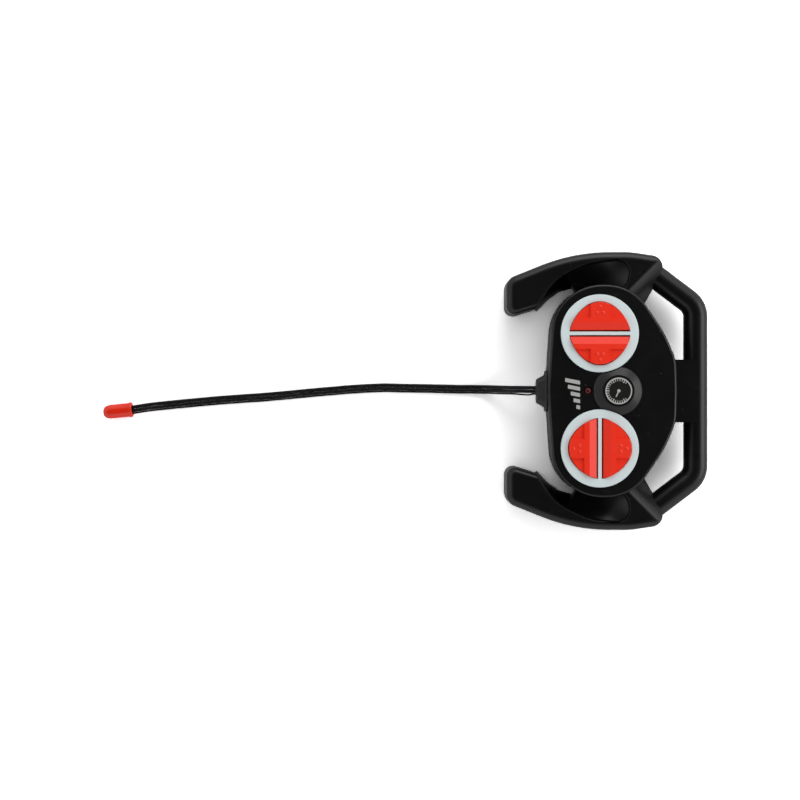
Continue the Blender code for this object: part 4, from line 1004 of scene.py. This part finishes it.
def set_at(control, points, z):
    """Points (x along the bar, y away from it) placed round the ring's middle, at height z (one or many)."""
    side, turn = CONTROLS[control]
    cosine, sine = np.cos(turn * TAU), np.sin(turn * TAU)
    x, y = np.asarray(points, float).T
    y = y + RING_BAR / 2 + PLAY
    spot = [side * RING_X + x * cosine - y * sine, RING_Y + x * sine + y * cosine]
    return np.stack([*spot, np.broadcast_to(z, x.shape)], -1)


def set_block(control, name, low, high):
    """Box in a control's own axes."""
    ring = [(low[0], low[1]), (high[0], low[1]), (high[0], high[1]), (low[0], high[1])]
    return stack(name, [set_at(control, ring, z) for z in (low[2], high[2])])


print(f"half-moon: {len(moon(0, 0))} points, {2 * MOON_R / MM:.1f} mm wide")


# %% Rings
RING_EDGE, WINDOW_FLARE = 0.4 * MM, 0.22 * MM


def ring(name, side):
    """Turned disc with rounded rims, through which two half-moon windows are cut, flared at the top."""
    foot = quarter_round(RING_R, RING_LOW, RING_EDGE, 6, foot=True)
    made = turned(name, [*foot, *quarter_round(RING_R, RING_TOP, RING_EDGE, 6)], (side * RING_X, RING_Y), 192)
    cosine, sine = quarter(6)
    flare, rise = WINDOW_FLARE * (1 - sine[::-1]), RING_TOP - WINDOW_FLARE * (1 - cosine[::-1])
    levels = [(0, RING_LOW - MM), *zip(flare, rise), (WINDOW_FLARE, RING_TOP + MM)]
    windows = []
    for control in (each for each, (where, _) in CONTROLS.items() if where == side):
        loops = [set_at(control, moon(PLAY + grow, PLAY + SLACK + grow), z) for grow, z in levels]
        windows.append(stack("window", loops))
    return combine(made, windows)


for word, side in SIDES.items():
    made = softened(ring(f"{word}_ring", side), sharp=35)
    adopt(made, f"{word}_bezel", ring_plastic, "pale_grey_plastic")

# %% Buttons
STRIP, BAND, TAB_W, RELIEF = 4.1 * MM, 2.7 * MM, 10.2 * MM, 0.8 * MM
SLOPE = 0.36  # fall of the strip beside the bar
KEY_EDGE, KEY_BEVEL = 0.3 * MM, 0.22 * MM
DOT_R, DOT_HIGH = 0.85 * MM, 0.4 * MM
DOT_SPREAD, DOT_NEAR, DOT_FAR = 3.1 * MM, 2.6 * MM, 5.8 * MM  # the latter two from the band
FLANGE_OUT, KEY_FLANGE_T, STEM_R = 0.9 * MM, 1.2 * MM, 2.4 * MM
BUTTON_TOP, STEM_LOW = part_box("right_button")[1].z - 0.35 * MM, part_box("right_button")[0].z
FLANGE_TOP = RING_LOW - GAP - KEY_FLANGE_T


def dot(place):
    """Low round bump that stands a little proud of the tab."""
    cosine, sine = quarter(5)
    cap = np.stack([DOT_R * cosine, BUTTON_TOP + DOT_HIGH * sine], -1)
    cap[-1, 0] = 0.03 * MM
    return turned("dot", [(DOT_R, BUTTON_TOP - 0.2 * MM), *cap], place, 28)


def relief_cuts(control, step, far):
    """Two blocks that sink the corners beside the tab, and a wedge that slopes the strip down to the bar."""
    cuts = []
    for way in (-1, 1):
        left, right = sorted((way * TAB_W / 2, way * far))
        low, high = (left, step, BUTTON_TOP - RELIEF), (right, far, BUTTON_TOP + MM)
        cuts.append(set_block(control, "corner", low, high))
    fall = SLOPE * (STRIP + MM)
    y, z = [-MM, STRIP, STRIP, -MM], BUTTON_TOP + np.array([-fall, 0, MM, MM])
    ends = [set_at(control, np.column_stack([np.full(4, x), y]), z) for x in (-far, far)]
    return [*cuts, stack("slope", ends)]


def button(control):
    """Half-moon levels: a flange below the ring, then a key with a rounded rim; cuts and bumps follow."""
    levels = [(FLANGE_OUT, FLANGE_OUT / 2, z) for z in (FLANGE_TOP - KEY_FLANGE_T, FLANGE_TOP)]
    levels += [(0, -SLACK, FLANGE_TOP + HAIR)]
    levels += [(inset, inset - SLACK, z) for inset, z in quarter_round(0, BUTTON_TOP, KEY_EDGE, 5)]
    made = stack(f"{control}_key", [set_at(control, moon(grow, flat), z) for grow, flat, z in levels])
    far, step = MOON_R + 2 * MM, STRIP + BAND
    evaluated(softened(combine(made, relief_cuts(control, step, far)), KEY_BEVEL, 14))
    dots = [(-DOT_SPREAD / 2, step + DOT_NEAR), (DOT_SPREAD / 2, step + DOT_NEAR), (0, step + DOT_FAR)]
    bumps = [dot(set_at(control, [each], 0)[0, :2]) for each in dots]
    post = set_at(control, [(0, MOON_R / 2)], 0)[0, :2]
    bumps.append(column("stem", post, STEM_R, STEM_LOW, FLANGE_TOP - 0.5 * MM))
    combine(made, bumps, "UNION")
    made.data.transform(np.array([(1, 0, 0, 0), (0, 1, 0, LIES), (0, 0, 1, 0), (0, 0, 0, 1)]).tolist())
    return made


for control in CONTROLS:
    adopt(softened(button(control), sharp=40), f"{control}_button", red_plastic, "red_plastic")


# %% [markdown]
# ## Dial, lamp and printed marks
#
# The dial is a printed disc. A picture of it would blur up close, so its ring, ticks and pointer are
# distances and angles in the shader. The lamp is a round-nosed red one, turned from a half section. Beside
# it stand five slanted signal bars, from short to tall, which are thin raised ink and so have a thickness
# of their own.

# %% Print of the dial, drawn by its polar coordinates
PRINT, DIAL_BLACK = (0.42, 0.42, 0.40), (0.008, 0.0085, 0.0075)
RIM_IN, RIM_OUT, TICK_OUT = 6.45, 7.1, 6.6  # radii in millimetres
SCALE_END, HAND_AT = 134, 65  # degrees from +Y


def dial_print():
    """Rim line, ticks over most of a turn, and a pointer with a round hub, all in millimetres."""
    made = Finish("dial_print", DIAL_BLACK, 0.36, specular_ior_level=0.35)
    x, y, _ = made.axes((-dial_at.x, -dial_at.y, 0))
    radius = (x * x + y * y) ** 0.5
    angle = x.math("ARCTAN2", y) * (360 / TAU)  # degrees from +Y
    line = 0.06

    def band(value, low, high):
        return value.fade(low - line, low + line) * value.fade(high + line, high - line)

    def ticks(pitch, low, width):
        sweep = abs(angle.math("PINGPONG", pitch / 2)) * radius * (TAU / 360)
        return sweep.fade(width + line, width - line) * band(radius, low, TICK_OUT)

    rim = band(radius, RIM_IN, RIM_OUT)
    scale = ticks(12, 5.2, 0.2).math("MAXIMUM", ticks(60, 4.9, 0.26))
    scale = scale * abs(angle).fade(SCALE_END, SCALE_END - 1)
    lean = HAND_AT * TAU / 360
    along = y * np.cos(lean) - x * np.sin(lean)
    across = abs(y * np.sin(lean) + x * np.cos(lean))
    hand = across.fade(0.34, 0.24) * band(along, 0, 3.5)
    hub = radius.fade(0.92, 0.80)
    mark = rim.math("MAXIMUM", scale).math("MAXIMUM", hand).math("MAXIMUM", hub)
    worn = made.noise(0.7 * MM, 4, roughness=0.7)
    mark = mark * (0.80 + worn * 0.4)
    made.colour(made.mix(mark, DIAL_BLACK, PRINT))
    made.rough(0.36 + mark * 0.22 + (worn - 0.5) * 0.12)
    made.relief(mark, 0.02 * MM, 0.5)
    return made.material


def disc(name, node, edge):
    """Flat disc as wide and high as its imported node, with a rounded rim."""
    low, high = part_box(node)
    crown = quarter_round((high.x - low.x) / 2, high.z, edge, 4)
    return turned(name, [(crown[0, 0], low.z), *crown], middle(node)[0], 128)


dial_finish = dial_print()
adopt(softened(disc("dial_face", "gauge_dial", 0.1 * MM), sharp=50), "gauge_dial", dial_finish, "dial_print")


# %% Signal bars, as raised ink
def printed_ink():
    """Silver-grey ink, a little uneven, as a pad printer leaves it."""
    made = Finish("silver_ink", PRINT, 0.42)
    patchy = made.noise(0.5 * MM, 5, roughness=0.7)
    made.colour(made.mix(patchy, (0.30, 0.30, 0.29), (0.52, 0.52, 0.50)))
    made.rough(0.38 + (patchy - 0.5) * 0.25)
    made.relief(patchy, 0.01 * MM, 0.6)
    return made.material


BAR_W, BAR_PITCH, BAR_X, BAR_FOOT = 2.05 * MM, 3.3 * MM, -9.9 * MM, 16.3 * MM
BAR_TALL, LEAN, BAR_CORNER_R = (2.0, 3.5, 5.0, 6.5, 8.0), 0.20, 0.3 * MM
INK_LOW, INK_TOP = DECK + 0.005 * MM, DECK + 0.035 * MM
ink = printed_ink()
for k, tall in enumerate(np.array(BAR_TALL) * MM):
    x, shift = BAR_X + BAR_PITCH * k, LEAN * tall
    rows = [(x + BAR_W, 0), (x + BAR_W + shift, tall), (x + shift, tall), (x, 0)]
    corners = [(px, BAR_FOOT + py, BAR_CORNER_R, 1) for px, py in rows]
    bar = moulding(f"signal_bar_{k + 1}", corners, [(INK_LOW, 0), (INK_TOP, 0)], 5)
    bar.data.materials.append(ink)
    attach(bar, "housing")
print(f"{len(BAR_TALL)} signal bars")


# %% Lamp: a clear red nose, with the glints of a dark cup inside painted into its colour
def lamp_lens():
    """Deep red, with paler spots painted into the colour as glints of a cup and wire inside, which are not
    modelled.
    """
    made = Finish("lamp_red", (0.085, 0.004, 0.004), 0.3, specular_ior_level=0.25)
    glints = made.add("ShaderNodeTexVoronoi", sockets={"Vector": made.place(), "Scale": 1 / (1.15 * MM)})
    # painted glints: the paler spots stand for light off a cup inside the lens, not for a colour of the lens
    bright = glints.fade(0.42, 0.12)
    made.colour(made.mix(bright, (0.040, 0.002, 0.002), (0.20, 0.012, 0.012)))
    made.rough(0.22 + bright * 0.12)
    made.relief(glints, 0.12 * MM, 0.35)
    return made.material


LAMP_R, LEG_X, LEG_HALF = 2 * MM, 1.27 * MM, 0.25 * MM


def lamp():
    """Collar below the deck, a nose that ends in a half ball, and two square legs down to the board."""
    low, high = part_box("status_lamp")
    collar, collar_r = DECK - DECK_WALL - GAP, (high.x - low.x) / 2
    cosine, sine = quarter(12)
    nose = np.stack([LAMP_R * cosine, high.z - LAMP_R * (1 - sine)], -1)
    nose[-1, 0] = HAIR
    rows = [(collar_r, collar - MM), (collar_r, collar), (LAMP_R, collar + HAIR), *nose]
    made = turned("lamp", rows, lamp_at, 64)
    legs = []
    for x in (-LEG_X, LEG_X):
        foot, head = (x - LEG_HALF, lamp_at.y - LEG_HALF), (x + LEG_HALF, lamp_at.y + LEG_HALF)
        legs.append(block("leg", (*foot, low.z), (*head, collar - 0.5 * MM)))
    return combine(made, legs, "UNION")


adopt(softened(lamp(), sharp=40), "status_lamp", lamp_lens(), "lamp_red")


# %% [markdown]
# ## Door, screws and cells
#
# From below, the transmitter shows its sliding battery door and six deep screw holes. With the door off,
# two AA cells lie side by side between plate and spring contacts. Cells and screws are turned from half
# sections. A spring is a tube along a cone-shaped helix, since a stack of rings would show its gaps.

# %% Metals, wraps and the other finishes
def metal(name, colour, gloss, grain):
    """Plated or drawn metal, with fine lines along y and a little tarnish."""
    made = Finish(name, colour, gloss, 1.0)
    lines = made.noise(0.25 * MM, 3, (1, 0.08, 1))
    tarnish = made.noise(4 * MM, 4, roughness=0.6).fade(0.5, 0.75)
    made.colour(made.mix(tarnish * 0.6, colour, tuple(c * 0.6 for c in colour)))
    made.rough(gloss + (lines - 0.5) * 0.18 + tarnish * 0.15)
    made.relief(lines, grain, 0.4)
    return made.material


def wrap():
    """Plain cell wrap: dark green, with a gold band at the positive end and a thin line beside it."""
    made = Finish("cell_wrap", (0.02, 0.045, 0.022), 0.28, coat_weight=0.3, coat_roughness=0.1)
    x, y, _ = made.axes()
    along = x * (y - (CELL_FIRST_Y - CELL_PITCH / 2) / MM).math("SIGN")
    band = along.fade(13.9, 14.0)
    line = along.fade(12.4, 12.5) * along.fade(13.0, 12.9)
    worn = made.noise(2 * MM, 4)
    mark = band.math("MAXIMUM", line)
    made.colour(made.mix(mark, (0.02, 0.045, 0.022), (0.40, 0.27, 0.09)))
    made.rough(0.26 + (worn - 0.5) * 0.14 - mark * 0.04)
    made.relief(worn, 0.02 * MM, 0.25)
    return made.material


def board():
    """Phenolic board: tan, fibrous, with smudges of flux, in random patches, that are glossier than the rest.
    """
    made = Finish("board_tan", (0.36, 0.21, 0.075), 0.5)
    fibre = made.noise(0.6 * MM, 4, (0.15, 1, 1))
    flux = made.noise(7 * MM, 3).fade(0.55, 0.7)
    made.colour(made.mix(fibre, (0.30, 0.17, 0.06), (0.42, 0.26, 0.10)))
    made.rough(0.48 + (fibre - 0.5) * 0.2 - flux * 0.15)
    made.relief(fibre, 0.02 * MM, 0.4)
    return made.material


contact_steel = metal("contact_steel", (0.62, 0.61, 0.59), 0.28, 0.01 * MM)
tinned_can = metal("tinned_can", (0.66, 0.66, 0.64), 0.35, 0.02 * MM)
cell_wrap, board_tan = wrap(), board()
chip_black = moulded("chip_black", (0.014, 0.014, 0.015), 0.55, 1.5)
dome_grey = moulded("dome_grey", (0.26, 0.26, 0.26), 0.62, 1.0)
sleeve_blue = moulded("sleeve_blue", (0.02, 0.05, 0.22), 0.33, 0.4)
wire_red = moulded("wire_red", (0.50, 0.02, 0.02), 0.42, 0.3)
wire_black = moulded("wire_black", (0.012, 0.012, 0.012), 0.45, 0.3)
print("nine finishes for what lies inside")


# %% Battery door, hung by two side lips, with thumb grooves
SETBACK = 1.6 * MM  # of the door behind the console's outline
GROOVES, GROOVE_FIRST, GROOVE_PITCH = 4, 5 * MM, 2.2 * MM
GROOVE_HALF, GROOVE_W, GROOVE_DEEP = 9 * MM, 1.1 * MM, 0.45 * MM


def door():
    """Plate and lips, cut to the console's outline drawn in by the setback, less four grooves."""
    low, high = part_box("battery_door")
    lip_low, inner = 2 * GAP + PLATE, TUB_HALF - LIP - GAP
    front = TUB_FRONT - GAP
    made = block("door", (-inner, -CONSOLE_REAR, low.z), (inner, front, lip_low + PLATE / 2))
    lips = block("lips", (GAP - TUB_HALF, -CONSOLE_REAR, lip_low + GAP), (TUB_HALF - GAP, front, high.z))
    combine(made, [lips], "UNION")
    outline = moulding("outline", CONSOLE, [(low.z - MM, SETBACK), (high.z + MM, SETBACK)])
    combine(made, [outline], "INTERSECT")
    grooves = []
    for y in -CONSOLE_REAR + GROOVE_FIRST + GROOVE_PITCH * np.arange(GROOVES):
        corner = (GROOVE_HALF, y + GROOVE_W, low.z + GROOVE_DEEP)
        grooves.append(block("groove", (-GROOVE_HALF, y, -MM), corner))
    return combine(made, grooves)


adopt(softened(door(), 0.12 * MM, 30), "battery_door", black_plastic, "black_plastic")


# %% Pan-head screws with a cross recess
# Radius of the shank, height of the head.
BOARD_SCREW, HOUSING_SCREW = (1.1 * MM, 1.2 * MM), (SCREW_R, 2 * MM)


def screw(node, head_up=False):
    """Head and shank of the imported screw's size, with a rounded pan and a tapered cross."""
    at, size = middle(node)
    low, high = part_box(node)
    head_r = size.x / 2
    shank_r, tall = BOARD_SCREW if head_up else HOUSING_SCREW
    cosine, sine = quarter(6)
    pan = np.stack([head_r * (0.62 + 0.38 * cosine), 0.55 * tall * (1 - sine)], -1)[::-1]
    rows = [*pan, (head_r, tall), (shank_r, tall + HAIR)]
    turns = np.linspace(tall + 0.3 * MM, size.z - 1.2 * MM, 25)
    thread = np.where(np.arange(25) % 2, 1.0, 0.86) * shank_r
    rows += [*zip(thread, turns), (0.4 * shank_r, size.z)]
    rows = np.array(rows)
    rows[:, 1] = high.z - rows[:, 1] if head_up else low.z + rows[:, 1]
    made = turned(node + "_piece", rows[::-1] if head_up else rows, at, 40)
    arm, half, deep = 0.60 * head_r, 0.13 * head_r, 0.6 * tall
    face = (high.z - deep, high.z + MM) if head_up else (low.z - MM, low.z + deep)
    cross = [block("cross", (at.x - dx, at.y - dy, face[0]), (at.x + dx, at.y + dy, face[1]))
             for dx, dy in ((arm, half), (half, arm))]
    return softened(combine(made, cross, solver="EXACT"), sharp=35)


for place in SCREW_AT:
    adopt(screw(f"housing_screw_{place}"), f"housing_screw_{place}", contact_steel, "contact_steel")
for place in ("left", "right"):
    adopt(screw(f"board_screw_{place}", True), f"board_screw_{place}", contact_steel, "contact_steel")


# %% Cells: wrapped body, crimped ends and a nub
NUB_R, NUB, CURL = 2.75 * MM, 1.4 * MM, 0.5 * MM


def cell(node, way):
    """Half section from the crimped base over both curled rims to the nub, turned about the cell's axis."""
    at, size = middle(node)
    half, radius = size.x / 2, size.z / 2
    face = half - NUB
    rows = [(radius - 1.6 * MM, -half + 0.2 * MM), (radius - 1.2 * MM, -half)]
    rows += [*quarter_round(radius, -half, CURL, 4, foot=True), *quarter_round(radius, face, CURL, 4)]
    rows += [(radius - 1.3 * MM, face), (radius - 1.5 * MM, face - 0.3 * MM)]
    rows += [(NUB_R + 0.2 * MM, face - 0.3 * MM), (NUB_R, face)]
    rows += [(NUB_R, half - 0.3 * MM), (NUB_R - 0.3 * MM, half)]
    return softened(turned_along(node + "_cell", rows, (0, at.y, at.z), (way, 0, 0), 72), sharp=40)


# %% Contact springs
SPRING_WIRE, SPRING_WIDE, SPRING_TAPER = 0.3 * MM, 4.2, 1.6  # the latter two in millimetres, as radii


def spring(node, turns=3.5, steps=24):
    """Helix (x, r cosine, r sine) whose radius r falls and whose x rises along it, flat at both ends."""
    low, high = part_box(node)
    at, size = middle(node)
    way = -1 if at.x > 0 else 1
    t = np.linspace(0, 1, int(turns * steps))
    radius, angle = (SPRING_WIDE - SPRING_TAPER * t) * MM, t * turns * TAU
    foot = (low.x if way > 0 else high.x) + way * SPRING_WIRE
    x = foot + way * (size.x - 2 * SPRING_WIRE) * np.clip((t - 0.12) / 0.80, 0, 1)
    core = np.column_stack([x, np.full(len(x), at.y), np.full(len(x), CELL_Z)])
    line = core + np.column_stack([np.zeros(len(x)), radius * np.cos(angle), radius * np.sin(angle)])
    along, out = unit(np.gradient(line, axis=0)), unit(line - core)
    out = unit(out - along * (out * along).sum(1, keepdims=True))
    loops = circles(line, out, np.cross(along, out), SPRING_WIRE, 10)
    return softened(stack(node + "_piece", loops), sharp=50)


for word, way in (("front", 1), ("rear", -1)):
    adopt(cell(f"battery_{word}", way), f"battery_{word}", cell_wrap, "cell_wrap")
    adopt(spring(f"spring_contact_{word}"), f"spring_contact_{word}", contact_steel, "contact_steel")


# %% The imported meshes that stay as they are, with their finishes
def dress(finish, slot, *nodes):
    """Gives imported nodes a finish."""
    for node in nodes:
        kept = frame["nodes"][node]
        kept.data.materials.clear()
        kept.data.materials.append(finish)


dress(board_tan, "board_tan", "circuit_board")
dress(chip_black, "chip_black", "encoder_chip")
dress(tinned_can, "tinned_can", "crystal", "coil_can")
dress(sleeve_blue, "sleeve_blue", "capacitor")
dress(dome_grey, "dome_grey", "forward_dome", "reverse_dome", "left_dome", "right_dome")
dress(contact_steel, "contact_steel", "plate_contact_front", "plate_contact_rear")
dress(wire_red, "wire_red", "battery_wire_red")
dress(wire_black, "chip_black", "battery_wire_black", "antenna_wire")
print("14 packed meshes kept")
